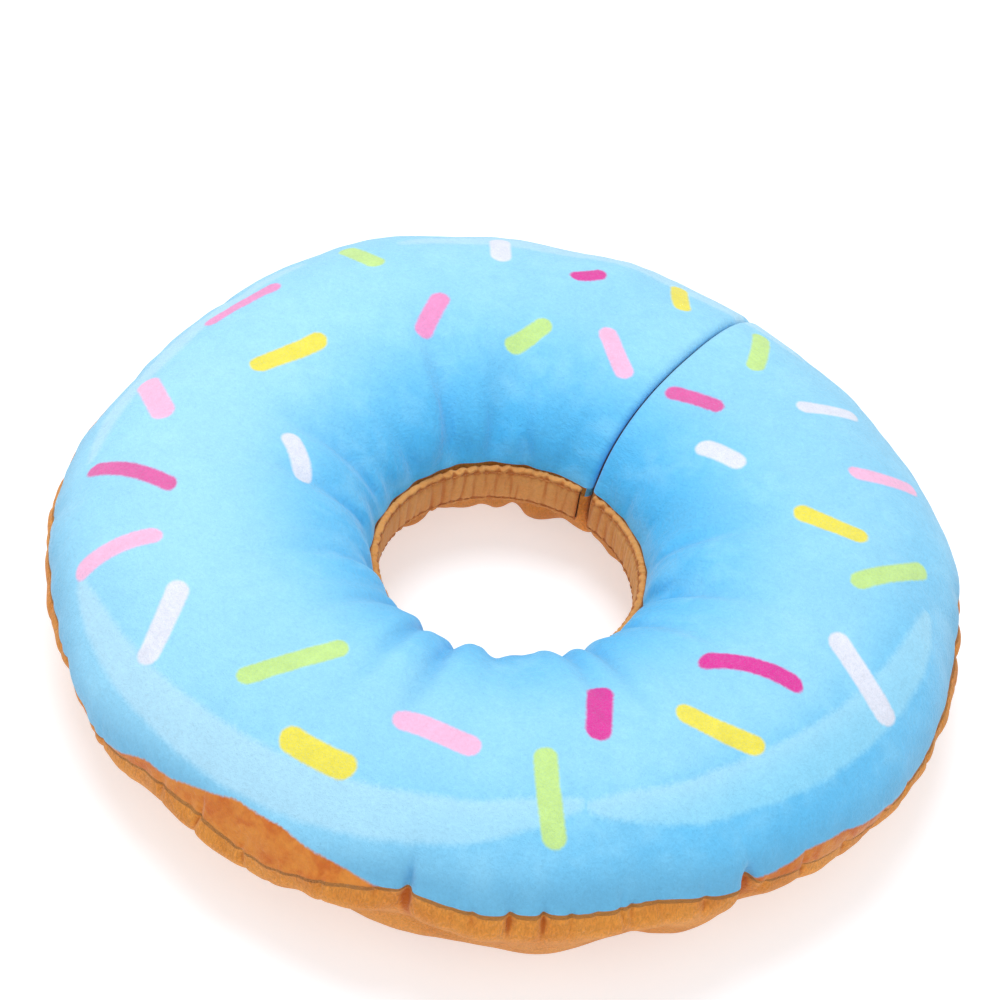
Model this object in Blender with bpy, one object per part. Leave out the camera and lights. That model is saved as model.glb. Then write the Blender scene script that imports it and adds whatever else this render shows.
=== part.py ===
"""A soft elizabethan collar: a stuffed plush ring, worn round a pet's neck like a doughnut.

The ring is a C: it is cut through at the nape (+Y), where a flap of hook tape holds its two
ends together, and it is opened by spreading its two arms apart. The collar lies flat, with
its printed face up. Origin: the middle of the neck hole, on the surface it lies on. +Z is up
and -Y is the front, under the chin. All lengths are in metres.

The cloth panels and the filling bend on the real collar. Here each of them is cut at the two
places where the ring bends most, so that a front piece and two arms can turn apart.
"""

import math

import bmesh
import bpy
from mathutils import Matrix, Vector

# The stuffed ring
RIM_RADIUS = 0.135
NECK_SIDE_RADIUS = 0.0405
CREST_HEIGHT = 0.062
WIDEST_HEIGHT = 0.028
RIM_SEAM_HEIGHT = 0.034
TOP_FULLNESS = 2.2
BASE_FULLNESS = 2.6
BASE_PRESSED_IN = 0.0012

# Cloth and clearances
PLUSH_THICKNESS = 0.0016
GAP = 0.0003
MIDDLE_OF_SPLIT_TO_GUSSET = 0.0006
PANEL_END = MIDDLE_OF_SPLIT_TO_GUSSET + PLUSH_THICKNESS + GAP
FILLING_END = PANEL_END + GAP

# Neck casing, and the flat elastic inside it
CASING_INNER_RADIUS = 0.0385
CASING_WALL = 0.001
CASING_BOTTOM = 0.0202
CASING_HEIGHT = 0.0136
ELASTIC_THICKNESS = 0.0009
ELASTIC_WIDTH = 0.011
CASING_OUTER_RADIUS = CASING_INNER_RADIUS + 2 * CASING_WALL + ELASTIC_THICKNESS + 2 * GAP
CASING_TOP = CASING_BOTTOM + CASING_HEIGHT

# Closure under the two ends of the arms, from the ground up: flap, hook tape, loop tape
FLAP_THICKNESS = 0.002
TAPE_THICKNESS = 0.0012
FLAP_REACH = 0.055
FLAP_WIDTH = 0.046
FLAP_MIDDLE = 0.085
FLAP_HINGE_X = 0.0032
FLAP_BASE_LENGTH = 0.018
FLAP_CORNER = 0.008
TAPE_LENGTH = 0.042
TAPE_WIDTH = 0.038
TAPE_CORNER = 0.002
HOOK_BOTTOM = FLAP_THICKNESS + GAP
LOOP_BOTTOM = HOOK_BOTTOM + TAPE_THICKNESS + GAP
CLOSURE_ROOM = LOOP_BOTTOM + TAPE_THICKNESS + GAP
CLOSURE_ROOM_HALF_LENGTH = 0.070
CLOSURE_ROOM_FADE = 0.015

# Care label, sewn into the rim seam of the right arm
LABEL_WIDTH = 0.024
LABEL_HEIGHT = 0.020
LABEL_THICKNESS = 0.0005
LABEL_ANGLE = math.radians(62)

# Fineness of the solids
STEPS_PER_QUARTER = 12
SIDE_POINTS = 7
CORNER_POINTS = 5
SLOPE_STEP = 0.01

MID_RADIUS = (RIM_RADIUS + NECK_SIDE_RADIUS) / 2
HALF_WIDTH = (RIM_RADIUS - NECK_SIDE_RADIUS) / 2


# ---------------------------------------------------------------- cross-section of the ring


def outline_point(turn):
    """Radius and height of the stuffed section at an angle round it: 0 is the rim, a quarter
    turn is the crest, half a turn is the neck and three quarters is the underside."""
    across = math.cos(turn)
    up = math.sin(turn)
    if up >= 0:
        power = 2 / TOP_FULLNESS
        rise = CREST_HEIGHT - WIDEST_HEIGHT
    else:
        power = 2 / BASE_FULLNESS
        rise = WIDEST_HEIGHT + BASE_PRESSED_IN
    radius = MID_RADIUS + HALF_WIDTH * math.copysign(abs(across) ** power, across)
    height = WIDEST_HEIGHT + rise * math.copysign(abs(up) ** power, up)
    return Vector((radius, height))


def section_point(turn, inset):
    """(radius, height, inset) of a point that lies inset inside the outline and off the ground."""
    slope = outline_point(turn + SLOPE_STEP) - outline_point(turn - SLOPE_STEP)
    inward = Vector((-slope.y, slope.x)).normalized()
    point = outline_point(turn) + inset * inward
    return point.x, max(point.y, inset), inset


def turn_at_height(height, low, high):
    """The angle round the section between low and high where the outline has that height."""
    rising = outline_point(high).y > outline_point(low).y
    for _ in range(40):
        middle = (low + high) / 2
        if (outline_point(middle).y < height) == rising:
            low = middle
        else:
            high = middle
    return low


def spread(low, high, count):
    """count values from low to high, evenly spaced, both ends included."""
    return [low + (high - low) * i / (count - 1) for i in range(count)]


def panel_turns():
    """The angles round the section of the upper and the under panel's points. The panels meet
    at the rim seam, and leave room for the casing between them at the neck."""
    top_rim = turn_at_height(RIM_SEAM_HEIGHT + GAP / 2, 0, math.pi / 2)
    top_neck = turn_at_height(CASING_TOP + GAP, math.pi / 2, math.pi)
    base_neck = turn_at_height(CASING_BOTTOM - GAP, math.pi, 1.5 * math.pi)
    base_rim = turn_at_height(RIM_SEAM_HEIGHT - GAP / 2, 0, math.pi / 2) + 2 * math.pi
    crest, underside, rim = 0.5 * math.pi, 1.5 * math.pi, 2 * math.pi
    top_turns = spread(top_rim, crest, SIDE_POINTS)[:-1] + spread(crest, top_neck, SIDE_POINTS)
    base_turns = spread(base_neck, underside, SIDE_POINTS)[:-1] + spread(underside, rim, SIDE_POINTS)
    return top_turns, base_turns + [base_rim]


def panel_loop(turns):
    """Cross-section of a plush panel: its outer side one way and its inner side back."""
    outer = [section_point(turn, 0) for turn in turns]
    inner = [section_point(turn, PLUSH_THICKNESS) for turn in reversed(turns)]
    return outer + inner


def outline_loop(top_turns, base_turns, inset):
    """Cross-section of what fills the panels, with a point inside each of the panels' points.
    It runs the way a panel's inner side does, so that the two have the same triangles."""
    turns = top_turns + base_turns[:-1]
    return [section_point(turn, inset) for turn in reversed(turns)]


def strip_loop(inner_radius, outer_radius, bottom, top):
    """Cross-section of an upright strip, such as the casing's wall or the elastic."""
    return [
        (outer_radius, bottom, 0),
        (outer_radius, top, 0),
        (inner_radius, top, 0),
        (inner_radius, bottom, 0),
    ]


# ---------------------------------------------------------------- sweeping round the neck


def closure_lift(x):
    """How far the underside is held up near the split, which leaves room for the closure."""
    past = (abs(x) - CLOSURE_ROOM_HALF_LENGTH) / CLOSURE_ROOM_FADE
    share = min(max(past, 0), 1)
    return CLOSURE_ROOM * (1 - share * share * (3 - 2 * share))


def front_station(radius, share, split_distance):
    """Angle round the neck in the front half, from the left flex line to the right one."""
    back_off = math.asin(GAP / 2 / radius)
    first = math.pi + back_off
    last = 2 * math.pi - back_off
    return first + (last - first) * share


def left_station(radius, share, split_distance):
    """Angle round the neck in the left arm, from its flex line to its end at the split."""
    first = math.pi - math.asin(GAP / 2 / radius)
    last = math.pi / 2 + math.asin(split_distance / radius)
    return first + (last - first) * share


def placed(point, angle, lifted):
    """A point of the cross-section, turned round the neck to its place."""
    radius, height, inset = point
    x = radius * math.cos(angle)
    y = radius * math.sin(angle)
    if lifted:
        height = max(height, closure_lift(x) + inset)
    return Vector((x, y, height))


def sweep(loops, station, steps, split_distance=0.0, lifted=False):
    """A solid that carries closed cross-sections round the neck. A second loop is a hollow."""
    bm = bmesh.new()
    rings = []
    for step in range(steps + 1):
        section = []
        for loop in loops:
            points = []
            for point in loop:
                angle = station(point[0], step / steps, split_distance)
                points.append(bm.verts.new(placed(point, angle, lifted)))
            section.append(points)
        rings.append(section)
    for here, there in zip(rings, rings[1:]):
        for near, far in zip(here, there):
            close_loop_pair(bm, near, far)
    for section in (rings[0], rings[-1]):
        if len(loops) == 1:
            bm.faces.new(section[0])
        else:
            close_loop_pair(bm, section[0], section[1])
    bmesh.ops.recalc_face_normals(bm, faces=bm.faces)
    return bm


def close_loop_pair(bm, near, far):
    """Triangles between two closed loops of as many points each."""
    for i in range(len(near)):
        j = (i + 1) % len(near)
        bm.faces.new((near[i], near[j], far[j]))
        bm.faces.new((near[i], far[j], far[i]))


def mirrored(bm):
    """The same solid on the other side of the collar."""
    bmesh.ops.scale(bm, vec=(-1, 1, 1), verts=bm.verts)
    bmesh.ops.recalc_face_normals(bm, faces=bm.faces)
    return bm


def prism(corners, thickness_way):
    """A plate: a flat outline of corners, carried along thickness_way."""
    bm = bmesh.new()
    near = [bm.verts.new(corner) for corner in corners]
    far = [bm.verts.new(corner + thickness_way) for corner in corners]
    bm.faces.new(near)
    bm.faces.new(far)
    close_loop_pair(bm, near, far)
    bmesh.ops.recalc_face_normals(bm, faces=bm.faces)
    return bm


def rounded_outline(low, high, radii):
    """Points of a rectangle in the plane, with a corner radius for each of its four corners,
    counted from the low corner round by the high-x side."""
    signs = ((-1, -1), (1, -1), (1, 1), (-1, 1))
    points = []
    for number, (side_x, side_y) in enumerate(signs):
        radius = radii[number]
        middle_x = (low[0] + radius) if side_x < 0 else (high[0] - radius)
        middle_y = (low[1] + radius) if side_y < 0 else (high[1] - radius)
        count = CORNER_POINTS if radius else 1
        for angle in spread(number * math.pi / 2, (number + 1) * math.pi / 2, max(count, 2))[:count]:
            way = math.pi + angle
            points.append((middle_x + radius * math.cos(way), middle_y + radius * math.sin(way)))
    return points


def flat_plate(low, high, bottom, thickness, radii):
    """A flat piece lying in the XY plane."""
    corners = [Vector((x, y, bottom)) for x, y in rounded_outline(low, high, radii)]
    return prism(corners, Vector((0, 0, thickness)))


# ---------------------------------------------------------------- objects and their materials


def clear_scene():
    for old in list(bpy.data.objects):
        bpy.data.objects.remove(old, do_unlink=True)


def principled(name, colour, roughness):
    material = bpy.data.materials.new(name)
    material.use_nodes = True
    shader = material.node_tree.nodes["Principled BSDF"]
    shader.inputs["Base Color"].default_value = (*colour, 1.0)
    shader.inputs["Roughness"].default_value = roughness
    shader.inputs["Metallic"].default_value = 0.0
    material.diffuse_color = (*colour, 1.0)
    return material


def node(name, bm, material, pivot):
    """Turns a finished bmesh into a named object that hangs on its body's pivot."""
    mesh = bpy.data.meshes.new(name)
    bm.to_mesh(mesh)
    bm.free()
    mesh.shade_smooth()
    mesh.set_sharp_from_angle(angle=math.radians(40))
    mesh.materials.append(material)
    piece = bpy.data.objects.new(name, mesh)
    bpy.context.scene.collection.objects.link(piece)
    if pivot is not None:
        piece.parent = pivot
        piece.location = -pivot_place(pivot)
    return piece


def pivot_place(pivot):
    """Where a pivot lies in the world, through the pivots that it hangs on."""
    place = Vector((0, 0, 0))
    while pivot is not None:
        place += pivot.location
        pivot = pivot.parent
    return place


def make_pivot(name, place, parent=None):
    """An empty on a joint's axis, for the pieces that turn about it."""
    pivot = bpy.data.objects.new(name, None)
    pivot.empty_display_size = 0.02
    pivot.location = place
    if parent is not None:
        pivot.parent = parent
        pivot.location = place - pivot_place(parent)
    bpy.context.scene.collection.objects.link(pivot)
    return pivot


# ---------------------------------------------------------------- the collar's pieces


def make_ring_set(prefix, loops, material, pivots, split_distance, lifted):
    """The front piece and the two arm pieces of something that runs all round the ring."""
    front = sweep(loops, front_station, 2 * STEPS_PER_QUARTER)
    node(prefix + "_front", front, material, None)
    left = sweep(loops, left_station, STEPS_PER_QUARTER, split_distance, lifted)
    node(prefix + "_left", left, material, pivots["left"])
    right = mirrored(sweep(loops, left_station, STEPS_PER_QUARTER, split_distance, lifted))
    node(prefix + "_right", right, material, pivots["right"])


def make_panels(materials, pivots):
    """The printed upper panel and the plain under panel, which meet in a seam at the rim."""
    top_turns, base_turns = panel_turns()
    top = panel_loop(top_turns)
    make_ring_set("top_panel", [top], materials["icing"], pivots, PANEL_END, True)
    base = panel_loop(base_turns)
    make_ring_set("bottom_panel", [base], materials["base"], pivots, PANEL_END, True)


def make_filling(materials, pivots):
    loop = outline_loop(*panel_turns(), PLUSH_THICKNESS + GAP)
    make_ring_set("filling", [loop], materials["filling"], pivots, FILLING_END, True)


def make_neck_band(materials, pivots):
    """The casing sewn between the two panels at the neck, and its flat elastic."""
    wall = strip_loop(CASING_INNER_RADIUS, CASING_OUTER_RADIUS, CASING_BOTTOM, CASING_TOP)
    hollow = strip_loop(
        CASING_INNER_RADIUS + CASING_WALL,
        CASING_OUTER_RADIUS - CASING_WALL,
        CASING_BOTTOM + CASING_WALL,
        CASING_TOP - CASING_WALL,
    )
    ends = MIDDLE_OF_SPLIT_TO_GUSSET
    make_ring_set("neck_band", [wall, hollow], materials["casing"], pivots, ends, False)
    inner = CASING_INNER_RADIUS + CASING_WALL + GAP
    bottom = (CASING_BOTTOM + CASING_TOP - ELASTIC_WIDTH) / 2
    strip = strip_loop(inner, inner + ELASTIC_THICKNESS, bottom, bottom + ELASTIC_WIDTH)
    make_ring_set("neck_elastic", [strip], materials["elastic"], pivots, ends + GAP, False)


def make_gussets(materials, pivots):
    """The cloth that closes each arm's end, one on each side of the split."""
    corners = []
    for radius, height, _ in outline_loop(*panel_turns(), 0):
        y = max(radius, CASING_OUTER_RADIUS + GAP)
        z = max(height, CLOSURE_ROOM)
        corners.append(Vector((-MIDDLE_OF_SPLIT_TO_GUSSET, y, z)))
    thickness = Vector((-PLUSH_THICKNESS, 0, 0))
    node("end_gusset_left", prism(corners, thickness), materials["base"], pivots["left"])
    right = mirrored(prism(corners, thickness))
    node("end_gusset_right", right, materials["base"], pivots["right"])


def make_closure(materials, pivots):
    """The flap on the right arm, with hook tape on its inner side, and the loop tape that it
    presses on, under the left arm."""
    low_y = FLAP_MIDDLE - FLAP_WIDTH / 2
    high_y = FLAP_MIDDLE + FLAP_WIDTH / 2
    free_end = (FLAP_CORNER, 0, 0, FLAP_CORNER)
    tongue = flat_plate(
        (-FLAP_REACH, low_y),
        (FLAP_HINGE_X - GAP / 2, high_y),
        0,
        FLAP_THICKNESS,
        free_end,
    )
    node("closure_flap", tongue, materials["closure"], pivots["flap"])
    sewn_hem = flat_plate(
        (FLAP_HINGE_X + GAP / 2, low_y),
        (FLAP_HINGE_X + FLAP_BASE_LENGTH, high_y),
        0,
        CLOSURE_ROOM - GAP,
        (0, 0, 0, 0),
    )
    node("flap_base", sewn_hem, materials["closure"], pivots["right"])
    tape_start = -FLAP_REACH + (FLAP_WIDTH - TAPE_WIDTH) / 2
    tape_low = (tape_start, FLAP_MIDDLE - TAPE_WIDTH / 2)
    tape_high = (tape_start + TAPE_LENGTH, FLAP_MIDDLE + TAPE_WIDTH / 2)
    rounded = (TAPE_CORNER,) * 4
    hook = flat_plate(tape_low, tape_high, HOOK_BOTTOM, TAPE_THICKNESS, rounded)
    node("hook_tape", hook, materials["hook"], pivots["flap"])
    loop = flat_plate(tape_low, tape_high, LOOP_BOTTOM, TAPE_THICKNESS, rounded)
    node("loop_tape", loop, materials["loop"], pivots["left"])


def make_care_label(materials, pivots):
    """A blank label that hangs from the rim seam, clear of the rim's widest level."""
    low = (-LABEL_WIDTH / 2, RIM_SEAM_HEIGHT - GAP - LABEL_HEIGHT)
    high = (LABEL_WIDTH / 2, RIM_SEAM_HEIGHT - GAP)
    corners = [Vector((0, y, z)) for y, z in rounded_outline(low, high, (0, 0, 0, 0))]
    bm = prism(corners, Vector((LABEL_THICKNESS, 0, 0)))
    out = Matrix.Translation((RIM_RADIUS + GAP, 0, 0))
    bmesh.ops.transform(bm, matrix=Matrix.Rotation(LABEL_ANGLE, 4, "Z") @ out, verts=bm.verts)
    node("care_label", bm, materials["label"], pivots["right"])


def make_materials():
    return {
        "icing": principled("icing_plush", (0.22, 0.63, 0.93), 0.95),
        "base": principled("base_plush", (0.80, 0.42, 0.13), 0.95),
        "filling": principled("fibre_filling", (0.90, 0.90, 0.88), 1.0),
        "casing": principled("casing_cloth", (0.76, 0.40, 0.14), 0.9),
        "elastic": principled("woven_elastic", (0.88, 0.88, 0.86), 0.8),
        "closure": principled("closure_cloth", (0.72, 0.37, 0.12), 0.85),
        "hook": principled("hook_tape", (0.70, 0.38, 0.15), 0.55),
        "loop": principled("loop_tape", (0.74, 0.42, 0.18), 0.9),
        "label": principled("label_tape", (0.93, 0.93, 0.91), 0.7),
    }


def main():
    clear_scene()
    materials = make_materials()
    right_pivot = make_pivot("right_arm_pivot", Vector((RIM_RADIUS, 0, 0)))
    pivots = {
        "left": make_pivot("left_arm_pivot", Vector((-RIM_RADIUS, 0, 0))),
        "right": right_pivot,
        "flap": make_pivot("flap_pivot", Vector((FLAP_HINGE_X, FLAP_MIDDLE, 0)), right_pivot),
    }
    make_panels(materials, pivots)
    make_filling(materials, pivots)
    make_neck_band(materials, pivots)
    make_gussets(materials, pivots)
    make_closure(materials, pivots)
    make_care_label(materials, pivots)


main()
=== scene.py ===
"""The looks of a plush recovery collar shaped like an iced doughnut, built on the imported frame.

World axes: X to the wearer's left and right, -Y to the front, Z up. The split of the collar is at
+Y and the front centre is at -Y. Angles round the ring are in degrees, from +X towards +Y."""

import math

import bpy
import numpy as np
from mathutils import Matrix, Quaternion, Vector


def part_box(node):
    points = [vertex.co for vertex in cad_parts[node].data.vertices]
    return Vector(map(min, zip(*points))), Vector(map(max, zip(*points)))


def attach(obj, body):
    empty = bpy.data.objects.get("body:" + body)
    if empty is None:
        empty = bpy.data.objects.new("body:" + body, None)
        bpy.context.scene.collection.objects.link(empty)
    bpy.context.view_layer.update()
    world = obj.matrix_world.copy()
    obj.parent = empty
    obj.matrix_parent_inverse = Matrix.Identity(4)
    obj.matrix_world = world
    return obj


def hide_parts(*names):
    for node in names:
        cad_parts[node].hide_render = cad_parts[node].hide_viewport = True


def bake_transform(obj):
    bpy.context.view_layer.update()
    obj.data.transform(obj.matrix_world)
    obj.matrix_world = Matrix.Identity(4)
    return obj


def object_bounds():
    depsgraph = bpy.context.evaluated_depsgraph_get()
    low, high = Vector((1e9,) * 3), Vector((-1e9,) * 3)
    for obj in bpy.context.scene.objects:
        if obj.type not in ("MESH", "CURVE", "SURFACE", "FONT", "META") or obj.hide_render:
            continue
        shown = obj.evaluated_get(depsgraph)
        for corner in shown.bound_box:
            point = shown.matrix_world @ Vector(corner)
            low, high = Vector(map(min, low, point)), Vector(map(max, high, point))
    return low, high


# Blender's own first objects go before the frame comes, so that they don't count in its size.
scene = bpy.context.scene
for leftover in ("Cube", "Light", "Camera"):
    if leftover in bpy.data.objects:
        bpy.data.objects.remove(bpy.data.objects[leftover], do_unlink=True)

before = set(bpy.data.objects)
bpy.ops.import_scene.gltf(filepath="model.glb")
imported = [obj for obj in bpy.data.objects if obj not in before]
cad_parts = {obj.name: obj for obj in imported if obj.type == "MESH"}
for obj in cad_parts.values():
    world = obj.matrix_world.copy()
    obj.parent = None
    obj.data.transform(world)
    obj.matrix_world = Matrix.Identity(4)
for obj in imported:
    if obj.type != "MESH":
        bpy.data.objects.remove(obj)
cad_low, cad_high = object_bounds()

MM = 0.001

# ----- sizes of the ring's section
RIM_RADIUS = cad_high.x
CREST_HEIGHT = cad_high.z
NECK_SIDE_RADIUS = 0.0405
WIDEST_HEIGHT = 0.028
TOP_FULLNESS = 2.2
BASE_FULLNESS = 2.6
BASE_PRESSED_IN = 0.0012
MIDDLE_RADIUS = (RIM_RADIUS + NECK_SIDE_RADIUS) / 2
HALF_WIDTH = (RIM_RADIUS - NECK_SIDE_RADIUS) / 2
RIM_SEAM_TURN = 8.5
NECK_TOP_TURN = 170.5
NECK_BASE_TURN = 191.8
PANEL_END = 0.0025

# ----- the cover's mesh
COLUMNS = 480
TOP_ROWS = 34
NECK_ROWS = 4
BASE_ROWS = 34
ROWS = TOP_ROWS + NECK_ROWS + BASE_ROWS


def outline(turn):
    """Radius and height of the section at each turn round it, in radians from the rim."""
    across, rise = np.cos(turn), np.sin(turn)
    above = rise >= 0
    power = np.where(above, 2 / TOP_FULLNESS, 2 / BASE_FULLNESS)
    tall = np.where(above, CREST_HEIGHT - WIDEST_HEIGHT, WIDEST_HEIGHT + BASE_PRESSED_IN)
    radius = MIDDLE_RADIUS + HALF_WIDTH * np.sign(across) * np.abs(across) ** power
    height = WIDEST_HEIGHT + tall * np.sign(rise) * np.abs(rise) ** power
    return radius, np.maximum(height, 0)


fine_turns = np.radians(np.linspace(RIM_SEAM_TURN, RIM_SEAM_TURN + 360, 6001))
fine_radius, fine_height = outline(fine_turns)
fine_steps = np.hypot(np.diff(fine_radius), np.diff(fine_height))
fine_length = np.concatenate([[0], np.cumsum(fine_steps)])
LOOP = fine_length[-1]
TOP_LENGTH = float(np.interp(math.radians(NECK_TOP_TURN), fine_turns, fine_length))
BASE_START = float(np.interp(math.radians(NECK_BASE_TURN), fine_turns, fine_length))
fine_slope_r = np.gradient(fine_radius, fine_length)
fine_slope_z = np.gradient(fine_height, fine_length)


def section(reach):
    """Radius, height and outward direction where the cloth is that far from the rim, over the top."""
    at = np.mod(reach, LOOP)
    radius = np.interp(at, fine_length, fine_radius)
    height = np.interp(at, fine_length, fine_height)
    out_r = np.interp(at, fine_length, fine_slope_z)
    out_z = -np.interp(at, fine_length, fine_slope_r)
    size = np.hypot(out_r, out_z)
    return radius, height, out_r / size, out_z / size


def sheet_faces(columns, rows, closed=False):
    """Four-sided faces of a grid of points stored column by column."""
    faces = []
    for i in range(columns - 1):
        for j in range(rows if closed else rows - 1):
            k = (j + 1) % rows
            faces.append((i * rows + j, (i + 1) * rows + j, (i + 1) * rows + k, i * rows + k))
    return faces


def tube_faces(rings, count, turned=False):
    """Faces of a closed tube of points stored ring by ring, with both ends closed."""
    faces = sheet_faces(rings, count, closed=True)
    if turned:
        faces = [(a, d, c, b) for a, b, c, d in faces]
    ends = [tuple(range(count)), tuple(range((rings - 1) * count, rings * count))]
    ends[0 if turned else 1] = ends[0 if turned else 1][::-1]
    return faces + ends


def apart(angle, centre):
    """Difference of two angles in degrees, the short way round."""
    return (np.asarray(angle) - centre + 180) % 360 - 180


def bell(value, width):
    """1 at 0, falling smoothly to 0 either side."""
    return np.exp(-((value / width) ** 2))


def bump(angle, centre, width):
    return bell(apart(angle, centre), width)


def eased(share):
    """0 to 1 with a smooth start and end."""
    return share * share * (3 - 2 * share)


def unit(vectors):
    return vectors / np.maximum(np.linalg.norm(vectors, axis=-1, keepdims=True), 1e-12)


# The rim seam isn't level: (centre angle, rise along the cloth in mm, half width in degrees).
SEAM_RISES = (
    (246, -9.0, 10),
    (276, -3.0, 6),
    (295, 6.0, 9),
    (311, 2.8, 8),
    (325, 5.5, 10),
    (3, -5.0, 16),
    (60, 2.0, 15),
    (128, -2.0, 20),
    (170, 2.0, 16),
    (224, 1.5, 12),
)


def seam_shift(angle):
    return sum(rise * MM * bump(angle, centre, width) for centre, rise, width in SEAM_RISES)


# The ring isn't quite round: (centre angle, change of radius in mm, of height in mm, half width).
OUTLINE_CHANGES = (
    (144, 2.0, 1.5, 22),
    (184, -2.6, -0.5, 18),
    (84, -1.6, -0.5, 26),
    (338, -1.0, -1.0, 5),
    (331, 1.4, 0.2, 5),
    (302, 0.9, 0.0, 5),
    (25, 1.0, 0.6, 16),
    (300, 0.6, 0.8, 22),
    (318, -1.3, -0.2, 62),
    (326, -1.0, -0.6, 5),
    (308, -0.8, 0.0, 5),
    (260, -0.8, 0.0, 10),
    (224, 2.3, 0.3, 20),
    (250, 1.0, 0.0, 8),
    (26, -0.8, 0.0, 8),
    (8, 1.0, 0.0, 12),
    (38, 1.2, 0.3, 16),
)


# Under the roll at the seam the base is tucked in: (centre angle, depth in mm, half width).
BASE_TUCKS = (
    (278, 6.8, 26),
    (299, 5.2, 9),
    (324, 6.8, 9),
    (347, 6.6, 8),
    (180, 2.6, 60),
    (70, 2.6, 60),
)

# Creases across the roll at the front: angle, depth and half width, reach over the top and base, mm.
FRONT_CREASES = (
    (294.5, 2.2, 1.3, 9, 13),
    (302.5, 1.2, 1.3, 0.6, 12),
    (307.0, 1.1, 1.1, 0.6, 11),
    (311.0, 1.5, 1.2, 0.6, 13),
    (314.2, 1.1, 1.2, 0.6, 11),
    (321.5, 1.6, 1.5, 0.8, 12),
    (337.5, 2.6, 1.8, 6, 15),
)

# Long soft folds drawn in by the neck: (angle, depth in mm, slant, how far out in mm).
SOFT_FOLDS = (
    (260, 1.9, 0.12, 50),
    (273, 2.7, -0.06, 62),
    (287, 3.0, 0.02, 68),
    (301, 1.3, 0.05, 42),
    (323, 2.0, -0.05, 52),
    (335, 2.3, 0.08, 58),
    (353, 1.7, -0.10, 48),
    (15, 1.9, 0.06, 56),
    (36, 1.4, -0.05, 46),
    (150, 1.7, 0.04, 54),
    (192, 2.0, -0.06, 54),
    (212, 1.8, 0.08, 50),
    (236, 1.7, -0.04, 48),
)


def spacing(share, density):
    """Rows closer together at both ends of a panel."""
    return share - density * np.sin(2 * math.pi * share) / (2 * math.pi)


def reaches(share_round, rows_top, rows_neck, rows_base):
    """How far each row of the cover is from the rim, for each column."""
    shift = seam_shift(90 + 360 * share_round)[:, None]
    top = spacing(np.arange(rows_top) / rows_top, 0.35)[None, :]
    neck = (np.arange(rows_neck) / rows_neck)[None, :]
    base = spacing(np.arange(rows_base) / rows_base, 0.35)[None, :]
    flat = np.ones_like(shift)
    return np.concatenate(
        [
            shift + (TOP_LENGTH - shift) * top,
            flat * (TOP_LENGTH + (BASE_START - TOP_LENGTH) * neck),
            BASE_START + (LOOP + shift - BASE_START) * base,
        ],
        axis=1,
    )


def round_points(radius, angle, height):
    return np.stack([radius * np.cos(angle), radius * np.sin(angle), height], axis=-1)


def place(radius, height, share_round):
    """Points of a grid from its radii and heights, running from the split round to the split."""
    off = np.arcsin(PANEL_END / radius)
    return round_points(radius, math.pi / 2 + off + (2 * math.pi - 2 * off) * share_round[:, None], height)


def plain_shape(share_round, reach, inset=0.0, offset=0.0):
    """The ring with its uneven outline, moved out by offset along its section, before folds."""
    radius, height, out_r, out_z = section(reach)
    degrees = 90 + 360 * share_round[:, None]
    outer = np.clip((radius - NECK_SIDE_RADIUS) / (RIM_RADIUS - NECK_SIDE_RADIUS), 0, 1)
    for centre, wider, taller, width in OUTLINE_CHANGES:
        near = bump(degrees, centre, width)
        radius = radius + wider * MM * near * outer
        height = height + taller * MM * near * height / CREST_HEIGHT
    move = offset - inset
    return place(radius + out_r * move, height + out_z * move, share_round)


# ----- puckers and gathers
rng = np.random.default_rng(41)

# How many of each there are, and how unevenly they are spaced.
PUCKERS = (58, 0.62)
GATHERS = (25, 0.6)
CREASES = (66, 0.65)
# Least and most of each: depth and half width in mm, reaches in mm, slant.
PUCKER_LEAST = (0.7, 1.7, 9, 3.5, -0.35)
PUCKER_MOST = (2.3, 3.6, 24, 13, 0.35)
GATHER_LEAST = (1.2, 1.8, 12, -0.3)
GATHER_MOST = (3.2, 3.6, 36, 0.3)
CREASE_LEAST = (0.3, 0.8, 1.5, 5, -0.4)
CREASE_MOST = (1.5, 1.5, 6, 15, 0.4)
FRONT_PUCKERS = [(294.5, 3.2, 2.2, 14, 10, 0.05), (337.5, 3.4, 3.0, 16, 7, -0.1)]
DEEPEST_FOLD = 4.5
SMOOTH_SIDE = 205


def irregular(count, uneven):
    """Angles round the ring, unevenly spaced."""
    steps = 1 + uneven * rng.uniform(-1, 1, count)
    return 90 + 360 * (np.cumsum(steps) - steps / 2) / steps.sum()


def arc(degrees, angle, radius):
    """How far each angle is from another along a circle, in mm."""
    return np.radians(apart(degrees, angle)) * radius / MM


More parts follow.
